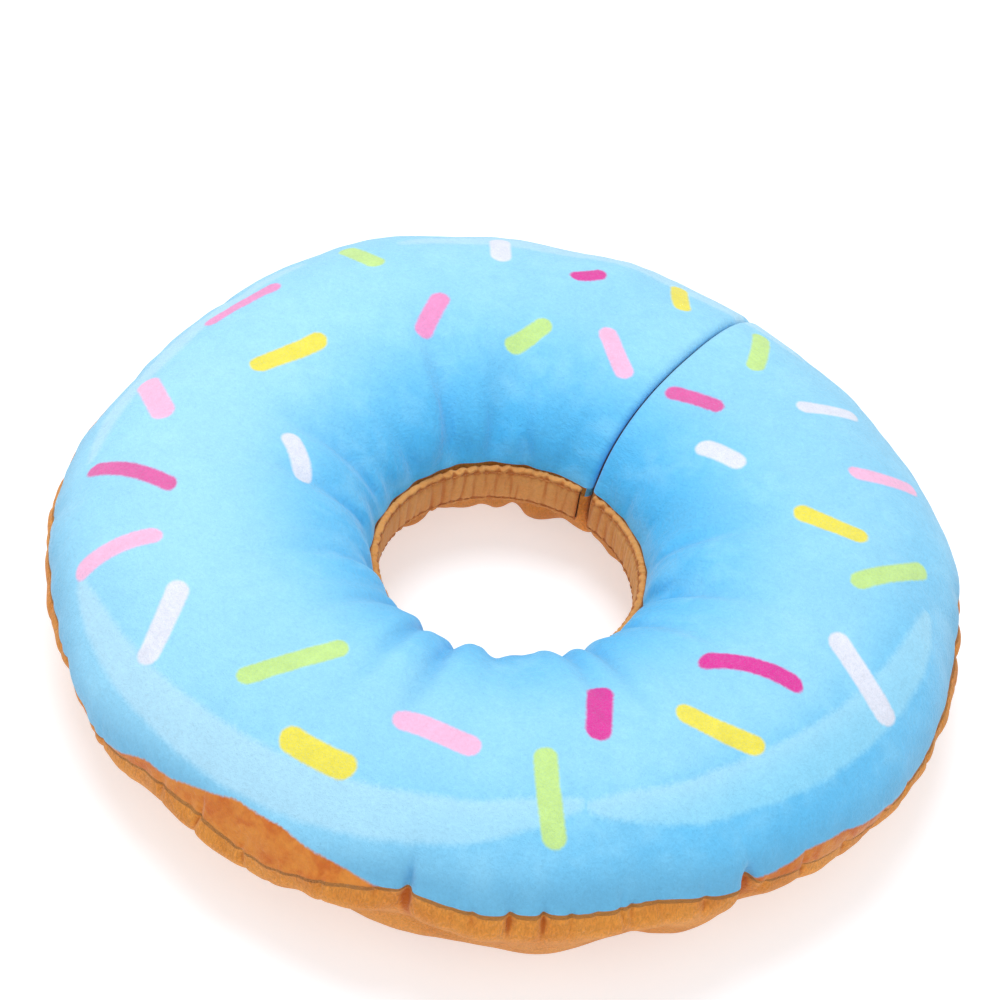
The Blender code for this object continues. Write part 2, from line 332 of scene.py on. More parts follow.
def fold_depth(share_round, reach, top_side):
    """Depth of the puckers at the rim seam and of the gathers at the neck, in metres."""
    degrees = 90 + 360 * share_round[:, None]
    shift = seam_shift(degrees)
    from_rim = np.where(top_side, reach - shift, LOOP + shift - reach) / MM
    from_neck = np.where(top_side, TOP_LENGTH - reach, reach - BASE_START) / MM
    from_neck = np.maximum(from_neck, 0)
    depth = np.zeros_like(from_rim)
    puckers = [(angle, *rng.uniform(PUCKER_LEAST, PUCKER_MOST)) for angle in irregular(*PUCKERS)]
    gathers = [(angle, *rng.uniform(GATHER_LEAST, GATHER_MOST)) for angle in irregular(*GATHERS)]
    share = np.where(top_side, 0.5, 1.0 - 0.6 * bump(degrees, SMOOTH_SIDE, 42))
    for angle, deep, width, base, top, slant in puckers + FRONT_PUCKERS:
        across = arc(degrees, angle, RIM_RADIUS) + slant * from_rim
        far = np.where(top_side, top, base)
        depth += share * deep * bell(across, width * (1 + 0.05 * from_rim)) * bell(from_rim, far)
    for angle, deep, width, far, slant in gathers:
        across = arc(degrees, angle, NECK_SIDE_RADIUS) * (1 + from_neck / 60) + slant * from_neck
        depth += deep * bell(across, width * (1 + 0.045 * from_neck)) * bell(from_neck, far)
    return np.minimum(depth, DEEPEST_FOLD) * MM


# How much larger than its frame the cloth is cut: all over, at the rim seam and at the neck.
SPARE_ALL = 0.03
SPARE_TOP_RIM = 0.07
SPARE_BASE_RIM = 0.12
SPARE_NECK = 0.2
SPARE_FADE = 0.022

# The cover's cloth while it is blown up, at ten times its size.
CLOTH_SCALE = 10.0
CLOTH = {
    "quality": 6,
    "mass": 0.15,
    "tension_stiffness": 15,
    "compression_stiffness": 15,
    "shear_stiffness": 4,
    "bending_stiffness": 6,
    "tension_damping": 5,
    "compression_damping": 5,
    "shear_damping": 5,
    "bending_damping": 0.5,
    "air_damping": 2,
    "use_pressure": True,
    "uniform_pressure_force": 2.0,
    "vertex_group_mass": "held",
}
BLOW_FRAMES = 20
SEAM_HELD = 0.35


def settled(start, reach, share_round):
    """The cover blown up as cloth: cut larger than its frame at the rim and the neck, so it puckers."""
    top_side = np.arange(ROWS)[None, :] < TOP_ROWS + NECK_ROWS // 2
    from_rim = np.minimum(np.abs(reach), np.abs(LOOP - reach))
    from_neck = np.where(top_side, TOP_LENGTH - reach, reach - BASE_START)
    from_neck = np.maximum(from_neck, 0)
    spare = SPARE_ALL + np.where(top_side, SPARE_TOP_RIM, SPARE_BASE_RIM) * bell(from_rim, SPARE_FADE)
    spare = spare + SPARE_NECK * bell(from_neck, SPARE_FADE)
    radius, height, _, _ = section(reach)
    cut_radius = radius * (1 + spare)
    along = np.hypot(np.diff(radius, axis=1), np.diff(height, axis=1))
    across = np.diff(cut_radius, axis=1)
    rise = np.sqrt(np.maximum(along**2 - across**2, 1e-10)) * np.sign(np.diff(height, axis=1))
    cut_height = np.concatenate([np.zeros((len(reach), 1)), np.cumsum(rise, axis=1)], axis=1)
    cut = place(cut_radius, cut_height, share_round)
    count = len(start)
    mesh = bpy.data.meshes.new("blown_cover")
    faces = sheet_faces(count, ROWS, closed=True)
    mesh.from_pydata((start.reshape(-1, 3) * CLOTH_SCALE).tolist(), [], faces)
    cover = bpy.data.objects.new("blown_cover", mesh)
    scene.collection.objects.link(cover)
    cover.shape_key_add(name="Basis")
    key_shape = cover.shape_key_add(name="cut")
    key_shape.data.foreach_set("co", (cut * CLOTH_SCALE).astype(np.float32).reshape(-1))
    key_shape.value = 0
    held = np.zeros((count, ROWS))
    held[:, 0] = SEAM_HELD
    held[:, TOP_ROWS : TOP_ROWS + NECK_ROWS + 1] = 1
    held[:2] = 1
    held[-2:] = 1
    group = cover.vertex_groups.new(name="held")
    for weight in (SEAM_HELD, 1.0):
        members = [int(x) for x in np.nonzero(held.reshape(-1) == weight)[0]]
        group.add(members, weight, "REPLACE")
    modifier = cover.modifiers.new("Cloth", "CLOTH")
    cloth = modifier.settings
    for key, value in CLOTH.items():
        setattr(cloth, key, value)
    cloth.rest_shape_key = key_shape
    cloth.effector_weights.gravity = 0
    modifier.collision_settings.use_collision = False
    modifier.collision_settings.use_self_collision = False
    modifier.point_cache.frame_start = 1
    modifier.point_cache.frame_end = BLOW_FRAMES
    for number in range(1, BLOW_FRAMES + 1):
        scene.frame_set(number)
    graph = bpy.context.evaluated_depsgraph_get()
    blown = cover.evaluated_get(graph).to_mesh()
    points = np.empty(len(blown.vertices) * 3, np.float32)
    blown.vertices.foreach_get("co", points)
    points = points.astype(float).reshape(count, ROWS, 3) / CLOTH_SCALE
    scene.frame_set(1)
    bpy.data.objects.remove(cover, do_unlink=True)
    return points


def halfway_open(values):
    """Doubles a grid along its first axis, with smooth points between the old ones."""
    before = np.concatenate([2 * values[:1] - values[1:2], values[:-2]])
    after = np.concatenate([values[2:], 2 * values[-1:] - values[-2:-1]])
    between = (9 * (values[:-1] + values[1:]) - before - after) / 16
    out = np.empty((2 * len(values) - 1, *values.shape[1:]))
    out[0::2] = values
    out[1::2] = between
    return out


def halfway_closed(values):
    """Doubles a grid along its second axis, which closes on itself."""
    ahead = np.roll(values, -1, axis=1)
    between = (9 * (values + ahead) - np.roll(values, 1, axis=1) - np.roll(values, -2, axis=1)) / 16
    out = np.empty((values.shape[0], 2 * values.shape[1], *values.shape[2:]))
    out[:, 0::2] = values
    out[:, 1::2] = between
    return out


def grid_normals(points):
    """Outward direction at each point of the closed, open-ended grid."""
    round_way = np.gradient(points, axis=0)
    over_way = np.roll(points, -1, axis=1) - np.roll(points, 1, axis=1)
    return unit(np.cross(round_way, over_way))


def soften(points, times, keep_rows=(), step=1):
    """Averages a grid with its neighbours, apart from its ends and the rows to keep."""
    for _ in range(times):
        mean = (np.roll(points, 1, axis=1) + np.roll(points, -1, axis=1)) / 4
        mean[step:-step] += (points[2 * step :] + points[: -2 * step]) / 4
        mean[:step] = points[:step]
        mean[-step:] = points[-step:]
        for row in keep_rows:
            mean[:, row] = points[:, row]
        points = 0.5 * points + 0.5 * mean
    return points


def swell(seed, degrees, reach, waves_round, wave_length, count):
    """Smooth unevenness from a sum of waves, about -1 to 1."""
    source = np.random.default_rng(seed)
    total = np.zeros(np.broadcast(degrees, reach).shape)
    for _ in range(count):
        turns = source.integers(waves_round[0], waves_round[1])
        slope = source.uniform(-1, 1) * 2 * math.pi / wave_length
        phase = source.uniform(0, 2 * math.pi)
        total = total + np.cos(turns * np.radians(degrees) + slope * reach + phase)
    return total / math.sqrt(count)


def smooth_most(a, b, band):
    """The larger of two values, rounded off where they meet."""
    share = np.clip(0.5 + 0.5 * (a - b) / band, 0, 1)
    return b + (a - b) * share + band * share * (1 - share)


RESTING_ROUND = 0.0018
ABOVE_FLOOR = 0.00002
CLOSURE_ROOM = 0.0055
CLOSURE_REACH = 0.085
CLOSURE_FADE = 0.015


def closure_room(points):
    """Lowest height of the underside: it lifts over the closure at the split."""
    fade = np.clip((CLOSURE_REACH - np.abs(points[..., 0])) / CLOSURE_FADE, 0, 1)
    return CLOSURE_ROOM * eased(fade) * np.clip(points[..., 1] / 0.02, 0, 1)


share_coarse = np.linspace(0, 1, COLUMNS + 1)
reach_coarse = reaches(share_coarse, TOP_ROWS, NECK_ROWS, BASE_ROWS)
is_top = np.arange(ROWS)[None, :] < TOP_ROWS + NECK_ROWS // 2
base_shape = plain_shape(share_coarse, reach_coarse)
near_split = np.where(base_shape[..., 1] > 0, bell(base_shape[..., 0], 0.0045), 0)
neck_far = np.where(is_top, TOP_LENGTH - reach_coarse, reach_coarse - BASE_START)
neck_hold = bell(np.maximum(neck_far, 0), 0.0035)
folds = fold_depth(share_coarse, reach_coarse, is_top) * (1 - 0.75 * neck_hold)
DRAWN_IN = 1.2 * MM
draw_in = DRAWN_IN * (1 - neck_hold) + folds * (1 - 0.7 * near_split)
start_shape = plain_shape(share_coarse, reach_coarse, inset=draw_in)
cover_grid = settled(start_shape, reach_coarse, share_coarse)
moved = cover_grid - start_shape
size = np.linalg.norm(moved, axis=-1, keepdims=True)
MOST_MOVED = 6.0 * MM
kept = MOST_MOVED * np.tanh(size / MOST_MOVED) / np.maximum(size, 1e-9)
cover_grid = start_shape + moved * kept
# The cloth keeps its folds, and its average goes back to the section that the frame has.
plain_out = grid_normals(base_shape)
proud = np.einsum("ijk,ijk->ij", cover_grid - base_shape, plain_out)
typical = proud[20:-20].mean(axis=0)
typical = (np.roll(typical, 1) + typical + np.roll(typical, -1)) / 3
correction = (0.2 * MM - typical)[None, :] * (1 - near_split) * (1 - neck_hold)
cover_grid = cover_grid + plain_out * correction[..., None]
cover_grid = soften(cover_grid, 3, keep_rows=(0,))

cover_grid = halfway_closed(halfway_open(halfway_open(cover_grid)))
FINE = 4 * COLUMNS
HALF = 2 * COLUMNS
share_fine = np.linspace(0, 1, FINE + 1)
reach_fine = reaches(share_fine, 2 * TOP_ROWS, 2 * NECK_ROWS, 2 * BASE_ROWS)
degrees_fine = 90 + 360 * share_fine[:, None]
FINE_ROWS = 2 * ROWS
top_edge = 2 * TOP_ROWS
base_edge = 2 * (TOP_ROWS + NECK_ROWS)
row_number = np.arange(FINE_ROWS)[None, :]
shift_fine = seam_shift(degrees_fine)
on_top = row_number <= top_edge
on_base = row_number >= base_edge
from_seam = np.where(row_number < base_edge, reach_fine - shift_fine, LOOP + shift_fine - reach_fine)
from_seam = from_seam / MM
from_neck_edge = np.where(row_number < base_edge, TOP_LENGTH - reach_fine, reach_fine - BASE_START)
from_neck_edge = np.maximum(from_neck_edge, 0) / MM

# The sewn rim seam: a narrow groove, with the caramel base rolling out under it at the front.
# Heights, widths and distances below the seam are in mm.
FRONT = 300
RIGHT = 356
FRONT_LEFT = 234
GROOVE_WIDTH = 1.8
ROLL_BELOW = 4.5
ROLL_WIDTH = 4
TUCK_BELOW = 23
TUCK_WIDTH = 14

outward = grid_normals(cover_grid)
groove = (1.7 * bump(degrees_fine, FRONT, 52) - 1.0) * bell(from_seam, GROOVE_WIDTH)
fuller = bump(degrees_fine, 296, 44)
roll_out = 1.2 + 1.3 * bump(degrees_fine, FRONT, 40) - 1.6 * bump(degrees_fine, RIGHT, 14)
roll_out = roll_out * bell(from_seam - ROLL_BELOW - 3 * fuller, ROLL_WIDTH + 2.5 * fuller)
under_roll = bell(from_seam - TUCK_BELOW, TUCK_WIDTH)
for centre, deep, width in BASE_TUCKS:
    roll_out = roll_out - deep * bump(degrees_fine, centre, width) * under_roll
roll_out = roll_out - 2.6 * bump(degrees_fine, FRONT_LEFT, 22) * bell(from_seam - 14, 12)
roll_out = np.where(on_base, roll_out, 0)


def crease(angle, deep, width, over, under, slant=0.0):
    """A sharp crease across the rim seam; it reaches further over the base than over the top."""
    across = arc(degrees_fine, angle, RIM_RADIUS) + slant * from_seam
    return deep * bell(from_seam, np.where(on_base, under, over)) * np.exp(-np.abs(across / width) ** 1.5)


# The lumps' heights, the folds' half width and where they start from the neck, in mm. Near the
# split the cloth is left plain.
BROAD_LUMPS = 0.55
FINE_LUMPS = 0.05
FOLD_WIDTH = 2.2
FOLD_START = 8
END_PLAIN = 12 * MM

crease_source = np.random.default_rng(77)
fewer = np.where(on_base, 1.0, 0.6) * (1 - 0.65 * bump(degrees_fine, SMOOTH_SIDE, 45))
creases = np.zeros_like(from_seam)
for angle in irregular(*CREASES):
    creases -= fewer * crease(angle, *crease_source.uniform(CREASE_LEAST, CREASE_MOST))
for values in FRONT_CREASES:
    creases -= crease(*values)
lumps = BROAD_LUMPS * swell(5, degrees_fine, reach_fine, (3, 22), 0.05, 24)
lumps = lumps + FINE_LUMPS * swell(6, degrees_fine, reach_fine, (40, 110), 0.012, 30)
soft_folds = np.zeros_like(from_seam)
for angle, deep, slant, far in SOFT_FOLDS:
    across = arc(degrees_fine, angle, NECK_SIDE_RADIUS) * (1 + from_neck_edge / 45)
    valley = bell(across + slant * from_neck_edge, FOLD_WIDTH + 0.05 * from_neck_edge)
    fading = np.clip(from_neck_edge / FOLD_START, 0, 1) * np.exp(-((from_neck_edge / far) ** 4))
    soft_folds -= np.where(on_top, deep * fading * valley, 0)
away = np.clip(from_neck_edge / 12, 0, 1) * np.clip(from_seam / 6, 0, 1)
end_fade = 1 - bell(cover_grid[..., 0], END_PLAIN) * (cover_grid[..., 1] > 0)
lift = (groove + (creases + roll_out + soft_folds + lumps * away) * end_fade) * MM
cover_grid = cover_grid + outward * lift[..., None]

SPLIT_GAP = 0.0003
END_ROUND = 0.0026
TURNED_COLUMNS = 16
JOINED_COLUMNS = 44


def rounded_end(points, normals, side):
    """Rolls the last columns of cloth round to a sewn edge, so that the two ends meet like pillows."""
    order = np.arange(len(points)) if side < 0 else np.arange(len(points))[::-1]
    anchor = points[order[TURNED_COLUMNS]]
    facing = normals[order[TURNED_COLUMNS]].copy()
    facing[:, 0] = 0
    facing = unit(facing)
    joined_x = points[order[JOINED_COLUMNS], :, 0]
    start_x = side * (SPLIT_GAP + END_ROUND)
    for k in range(JOINED_COLUMNS):
        column = order[k]
        if k <= TURNED_COLUMNS:
            turn = math.radians(-55 + 145 * k / TURNED_COLUMNS)
            spot = anchor - facing * END_ROUND * (1 - math.sin(turn))
            points[column, :, 1:] = spot[:, 1:]
            points[column, :, 0] = side * (SPLIT_GAP + END_ROUND * (1 - math.cos(turn)))
        else:
            share = (k - TURNED_COLUMNS) / (JOINED_COLUMNS - TURNED_COLUMNS)
            points[column, :, 0] = start_x + (joined_x - start_x) * share


rounded_end(cover_grid, outward, -1)
rounded_end(cover_grid, outward, 1)

floor_height = closure_room(cover_grid)
height = smooth_most(cover_grid[..., 2], floor_height, RESTING_ROUND)
cover_grid[..., 2] = np.maximum(height, floor_height + ABOVE_FLOOR)
behind = cover_grid[..., 1] > 0
left_half = (np.arange(FINE + 1) < HALF)[:, None]
across = cover_grid[..., 0]
across = np.where(behind & left_half, np.minimum(across, -SPLIT_GAP), across)
cover_grid[..., 0] = np.where(behind & ~left_half, np.maximum(across, SPLIT_GAP), across)
outward = grid_normals(cover_grid)
rest_grid = plain_shape(share_fine, reach_fine)

# The print lies where the cloth ended up, not where the cloth slid from.
over_way = unit(np.roll(rest_grid, -1, axis=1) - np.roll(rest_grid, 1, axis=1))
slid = np.einsum("ijk,ijk->ij", cover_grid - rest_grid, over_way)
print_reach = reach_fine + slid
print_turn = np.arctan2(cover_grid[..., 1], cover_grid[..., 0])
print_radius, print_height, _, _ = section(print_reach)
print_grid = round_points(print_radius, print_turn, print_height)
print_degrees = np.degrees(print_turn)

# How deep each point of the cloth lies below its smoothed neighbours, for painted shade down in the
# creases and the soft folds.
smoothed = soften(cover_grid, 10, step=3)
hollow_grid = np.einsum("ijk,ijk->ij", smoothed - cover_grid, outward) / MM
hollow_grid = hollow_grid * (1 - bell(from_seam, 2.4)) - 0.42 * soft_folds


# ----- meshes and pieces
def new_piece(name, points, faces, cloth, smooth=True):
    """A mesh object made of one named cloth; its slot holds the material of that name."""
    mesh = bpy.data.meshes.new(name)
    mesh.from_pydata(np.asarray(points, float).reshape(-1, 3).tolist(), [], faces)
    mesh.validate()
    if smooth:
        mesh.shade_smooth()
    mesh.materials.append(cloths[cloth])
    piece = bpy.data.objects.new(name, mesh)
    scene.collection.objects.link(piece)
    return piece


def point_values(piece, **named):
    """Stores values, or vectors if they have three parts, at each point of a piece."""
    count = len(piece.data.vertices)
    for name, values in named.items():
        values = np.asarray(values, np.float32)
        vectors = values.size == 3 * count
        made = piece.data.attributes.new(name, "FLOAT_VECTOR" if vectors else "FLOAT", "POINT")
        made.data.foreach_set("vector" if vectors else "value", values.reshape(-1))


def follow_arm(piece):
    """Moves the piece's placement into the points of its mesh."""
    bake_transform(piece)
    return piece


# ----- colours
def colour(red, green, blue):
    """A screen colour from 0 to 255 as the linear one that shaders take."""
    out = []
    for value in (red, green, blue):
        value = value / 255
        out.append(value / 12.92 if value <= 0.04045 else ((value + 0.055) / 1.055) ** 2.4)
    return (*out, 1.0)


ICING = colour(148, 216, 250)
ICING_DEEP = colour(76, 190, 248)
ICING_PALE = colour(178, 233, 253)
ICING_RIM_SHADE = colour(104, 178, 218)
CRESCENT = colour(186, 229, 251)
CRESCENT_DEEP = colour(150, 222, 252)
CREASE_SHADE_TINT = colour(150, 196, 222)
MARGIN = colour(224, 140, 56)
MARGIN_DEEP = colour(204, 106, 38)
CARAMEL = colour(230, 150, 62)
CARAMEL_DEEP = colour(188, 94, 26)
BAR_COLOURS = {
    "pink": colour(244, 150, 205),
    "hot pink": colour(228, 98, 170),
    "magenta": colour(224, 52, 158),
    "pale pink": colour(253, 190, 226),
    "yellow": colour(240, 228, 78),
    "lime": colour(198, 234, 142),
    "white": colour(230, 233, 248),
}

# The printed bars: angle and reach of one end, of the other end, half width and bend in mm, colour.
BARS = (
    (180.5, 26, 167.5, 32, 2.6, 0.0, "pink"),
    (187.5, 54, 171.5, 62, 3.3, 0.4, "yellow"),
    (195, 24, 203.5, 39, 3.6, 0.0, "pale pink"),
    (213, 21, 219.5, 48, 2.7, -1.2, "hot pink"),
    (231, 16, 230, 42, 3.0, -1.2, "pale pink"),
    (249.5, 23, 241.5, 43, 3.5, 0.8, "white"),
    (260.5, 38, 268.5, 67, 3.1, 0.8, "lime"),
    (272, 33, 283, 33, 4.0, 0.4, "yellow"),
    (285.3, 54, 299.8, 51.5, 3.6, 0.0, "pale pink"),
    (310.5, 51, 311.5, 23, 3.4, 0.5, "lime"),
    (324.5, 74, 320, 55, 3.8, 0.0, "magenta"),
    (350, 71, 359, 46, 3.0, -2.0, "magenta"),
    (337, 58, 345, 37, 3.4, 0.5, "yellow"),
    (10.5, 48, 4.6, 20.5, 3.6, 1.2, "white"),
    (24, 48, 33, 26, 3.0, 0.0, "lime"),
    (39, 66, 34, 46, 3.1, 0.3, "yellow"),
    (49.5, 45, 49, 21, 2.6, 0.5, "pale pink"),
    (67, 47, 64, 27, 2.7, 0.3, "white"),
    (129.5, 27, 130, 43, 3.3, 0.0, "white"),
    (117, 47, 112, 41, 2.8, 0.4, "magenta"),
    (153.5, 24, 151.5, 42, 3.1, 0.4, "lime"),
    (143, 62, 151, 75, 3.0, 0.3, "pink"),
    (101, 27, 97.5, 41, 3.0, 0.3, "yellow"),
    (85, 30, 79, 48, 3.0, -0.4, "lime"),
    (74, 69, 86, 77, 2.7, 0.3, "hot pink"),
    (108, 66, 98, 80, 3.0, 0.2, "pale pink"),
    (129, 82, 120, 70, 3.1, 0.2, "lime"),
    (212, 86, 200, 76, 3.0, 0.3, "white"),
    (56, 76, 67, 84, 3.0, 0.3, "white"),
)

# The paler printed crescents: middle angle, half span, middle reach, slope, bow and half width.
CRESCENTS = (
    (274, 42, 20.5, 9.5, 5.0, 7.6),
    (351, 35, 28.0, -5.5, 0.0, 7.4),
    (112, 34, 25.0, 4.0, 2.0, 5.5),
    (186, 26, 21.0, -3.0, 1.0, 4.0),
)

# The wavy printed edge of the icing: angle, distance in from the rim in mm, half width in degrees.
ICING_EDGE = (
    (272.5, 11.0, 9.0),
    (286, 7.0, 9),
    (308, 3.6, 5),
    (326, 3.0, 4),
    (347, 4.6, 11),
    (8, -3.2, 12),
    (246, -9.0, 10),
    (258, 3.4, 6),
    (52, 7.0, 8),
    (80, 3.0, 7),
    (118, 8.0, 9),
    (150, 2.5, 8),
    (196, 6.5, 9),
    (221, 2.2, 8),
)

# The icing's edge is moved out and rippled: (height in mm, number round the ring, turn in degrees).
ICING_OUTWARD = 1
ICING_RIPPLES = ((0.5, 31, 0), (0.4, 53, 40))
# How far inside a crescent a point counts as when it is past all of them, in mm.
FAR_FROM_CRESCENT = -30.0
PAST_CRESCENT_TIP = -8.0


def crescent_depth(degrees, reach_mm):
    """How far inside a crescent a point is, in mm; negative outside."""
    best = np.full(np.broadcast(degrees, reach_mm).shape, FAR_FROM_CRESCENT)
    for middle, span, centre, slope, bow, half in CRESCENTS:
        along = apart(degrees, middle) / span
        across = reach_mm - (centre + slope * along + bow * along**2)
        inside = half * np.sqrt(np.clip(1 - along**2, 0, 1)) - np.abs(across)
        inside = np.where(np.abs(along) < 1, inside, PAST_CRESCENT_TIP)
        best = np.maximum(best, inside)
    return best


def icing_inside(degrees, reach_mm):
    """How far in from the wavy printed edge of the icing a point is, in mm."""
    edge = sum(far * bump(degrees, centre, width) for centre, far, width in ICING_EDGE)
    ripple = sum(far * np.cos(np.radians(degrees * n + turn)) for far, n, turn in ICING_RIPPLES)
    return reach_mm - (edge - ICING_OUTWARD) - ripple * 0.7


def deep_side(degrees, reach_mm):
    """Painted shade: a deeper blue down the outer side of the front right, low where less light falls."""
    return bump(degrees, 345, 48) * eased(1 - np.clip((reach_mm - 22) / 26, 0, 1))


def pale_side(degrees, reach_mm):
    """Painted highlight: paler blue over the crest on the left, where the light falls on the top."""
    return bump(degrees, 205, 60) * bell(reach_mm - 45, 26)


def on_ring(angle, reach_mm):
    """A point of the plain ring and the outward direction there."""
    radius, height, out_r, out_z = section(np.array(reach_mm * MM))
    turn = math.radians(angle)
    place_at = np.array([radius * math.cos(turn), radius * math.sin(turn), height])
    facing = np.array([out_r * math.cos(turn), out_r * math.sin(turn), out_z])
    return place_at, facing


def print_bars(piece, columns):
    """Gives each face its nearest printed bar: its own lengthwise and crosswise place, size, colour."""
    rows = top_edge + 3
    rest = print_grid[columns, :rows].reshape(-1, 3)
    faces = np.array([p.vertices[:] for p in piece.data.polygons])
    corners = rest[faces]
    centres = corners.mean(axis=1)
    nearest = np.full(len(faces), 1e9)
    place_in = np.zeros((len(faces), 4, 3))
    sizes = np.zeros((len(faces), 3))
    colours = np.zeros((len(faces), 4))
    for angle_a, reach_a, angle_b, reach_b, half_width, bend, shade in BARS:
        one, _ = on_ring(angle_a, reach_a)
        other, _ = on_ring(angle_b, reach_b)
        gap = apart(angle_b, angle_a)
        centre, facing = on_ring(angle_a + gap / 2, (reach_a + reach_b) / 2)
        along = other - one
        along = along - facing * along.dot(facing)
        half_length = np.linalg.norm(along) / 2 / MM - half_width * 0.4
        along = along / np.linalg.norm(along)
        across = np.cross(facing, along)
        out = (centres - centre) / MM
        far_along = np.maximum(np.abs(out @ along) - half_length, 0)
        far = np.sqrt(far_along**2 + (out @ across) ** 2 + (out @ facing) ** 2)
        better = far < nearest
        nearest = np.where(better, far, nearest)
        local = (corners[better] - centre) / MM
        place_in[better, :, 0] = local @ along
        place_in[better, :, 1] = local @ across
        place_in[better, :, 2] = np.abs(local @ facing)
        sizes[better] = (max(half_length, 0.5), half_width, bend)
        colours[better] = BAR_COLOURS[shade]
    made = piece.data.attributes.new("bar_place", "FLOAT_VECTOR", "CORNER")
    made.data.foreach_set("vector", place_in.astype(np.float32).reshape(-1))
    made = piece.data.attributes.new("bar_size", "FLOAT_VECTOR", "FACE")
    made.data.foreach_set("vector", sizes.astype(np.float32).reshape(-1))
    made = piece.data.attributes.new("bar_colour", "FLOAT_COLOR", "FACE")
    made.data.foreach_set("color", colours.astype(np.float32).reshape(-1))


# ----- materials
class Looks:
    """Builds one material. Values may be numbers, colours or the outputs of other nodes."""

    def __init__(self, name, roughness, sheen=0.0, sheen_rough=0.4, tint=(1, 1, 1, 1), specular=0.25):
        self.material = bpy.data.materials.new(name)
        self.material.use_nodes = True
        self.tree = self.material.node_tree
        self.shader = self.tree.nodes["Principled BSDF"]
        self.give(self.shader, "Roughness", roughness)
        self.give(self.shader, "Specular IOR Level", specular)
        self.give(self.shader, "Sheen Weight", sheen)
        self.give(self.shader, "Sheen Roughness", sheen_rough)
        self.give(self.shader, "Sheen Tint", tint)

    def give(self, node, key, value):
        if isinstance(value, bpy.types.NodeSocket):
            self.tree.links.new(value, node.inputs[key])
        else:
            node.inputs[key].default_value = value

    def put(self, kind, values, **settings):
        made = self.tree.nodes.new(kind)
        for key, value in settings.items():
            setattr(made, key, value)
        for key, value in values.items():
            self.give(made, key, value)
        return made.outputs

    def calc(self, operation, a, b=0.0, clamp=False):
        return self.put("ShaderNodeMath", {0: a, 1: b}, operation=operation, use_clamp=clamp)[0]

    def add(self, a, b, clamp=False):
        return self.calc("ADD", a, b, clamp)

    def times(self, a, b):
        return self.calc("MULTIPLY", a, b)

    def less(self, a, b):
        return self.calc("SUBTRACT", a, b)

    def swing(self, value, strength):
        """A value from 0 to 1 as a change to either side of 0."""
        return self.times(self.less(value, 0.5), strength)

    def ramp(self, value, low, high, to_low=0.0, to_high=1.0):
        """A smooth step of value from low to high."""
        values = {"Value": value, 1: low, 2: high, 3: to_low, 4: to_high}
        return self.put("ShaderNodeMapRange", values, interpolation_type="SMOOTHSTEP")[0]

    def mix(self, factor, a, b, blend="MIX"):
        values = {0: factor, 6: a, 7: b}
        return self.put("ShaderNodeMix", values, data_type="RGBA", blend_type=blend)[2]

    def read(self, name, output="Fac"):
        return self.put("ShaderNodeAttribute", {}, attribute_name=name)[output]

    def parts(self, vector):
        return self.put("ShaderNodeSeparateXYZ", {0: vector})

    def cloudy(self, vector, scale, detail=2.0, rough=0.5, distortion=0.0):
        values = {"Vector": vector, "Scale": scale, "Detail": detail, "Roughness": rough}
        values["Distortion"] = distortion
        return self.put("ShaderNodeTexNoise", values)["Fac"]

    def streaks(self, weave, around, over, detail, rough, distortion):
        """Noise drawn out along the cloth."""
        values = {"Vector": weave, "Scale": (around, over, 1)}
        drawn = self.put("ShaderNodeMapping", values)[0]
        return self.cloudy(drawn, 1.0, detail, rough, distortion)

    def shade_by(self, base, *parts):
        """Brightens and darkens base by each (value from 0 to 1, strength)."""
        total = 1.0
        for value, strength in parts:
            total = self.add(self.swing(value, strength), total)
        grey = self.put("ShaderNodeCombineColor", {0: total, 1: total, 2: total})[0]
        return self.mix(1.0, base, grey, "MULTIPLY")

    def finish(self, base, height, bump_strength, bump_distance, worn=None, smoothest=0.0, spread=0.0):
        """Links the colour, the bump and, where it is given, a roughness that varies with wear."""
        self.give(self.shader, "Base Color", base)
        if worn is not None:
            self.give(self.shader, "Roughness", self.add(self.times(worn, spread), smoothest))
        values = {"Strength": bump_strength, "Distance": bump_distance, "Height": height}
        self.give(self.shader, "Normal", self.put("ShaderNodeBump", values)["Normal"])
        return self.material


def plush(name, sheen, tint, around, over, combing):
    """A material with short plush pile: its fibre clumps, fibres and combed streaks."""
    made = Looks(name, 0.92, sheen, 0.45, tint)
    made.cut_place = made.read("cut_place", "Vector")
    made.weave = made.read("weave", "Vector")
    made.clump = made.cloudy(made.cut_place, 900, 3, 0.6)
    made.fibre = made.cloudy(made.cut_place, 2600, 2, 0.6)
    made.combed = made.streaks(made.weave, around, over, 3, 0.55, 0.4)
    height = made.add(made.times(made.clump, 0.5), made.times(made.fibre, 0.25))
    made.height = made.add(height, made.times(made.combed, combing))
    return made


def inside_bar(made, fuzz):
    """How far a point is inside its nearest printed bar, from 0 to 1: a bent line with round ends."""
    place = made.parts(made.read("bar_place", "Vector"))
    size = made.parts(made.read("bar_size", "Vector"))
    along = made.calc("DIVIDE", place[0], size[0])
    bow = made.times(size[2], made.less(made.times(along, along), 0.5))
    across = made.calc("ABSOLUTE", made.less(place[1], bow))
    over_end = made.less(made.calc("ABSOLUTE", place[0]), size[0])
    over_end = made.calc("MAXIMUM", made.add(over_end, made.times(size[1], 0.35)), 0)
    square = made.add(made.calc("POWER", over_end, 2.0), made.calc("POWER", across, 2.0))
    far = made.less(made.calc("SQRT", square), size[1])
    far = made.add(far, made.times(fuzz, 0.32))
    inside = made.times(made.ramp(far, -0.6, 0.6, 1, 0), made.ramp(place[2], 12, 16, 1, 0))
    return made.times(inside, made.ramp(made.fibre, 0.2, 0.6, 0.84, 1.0))


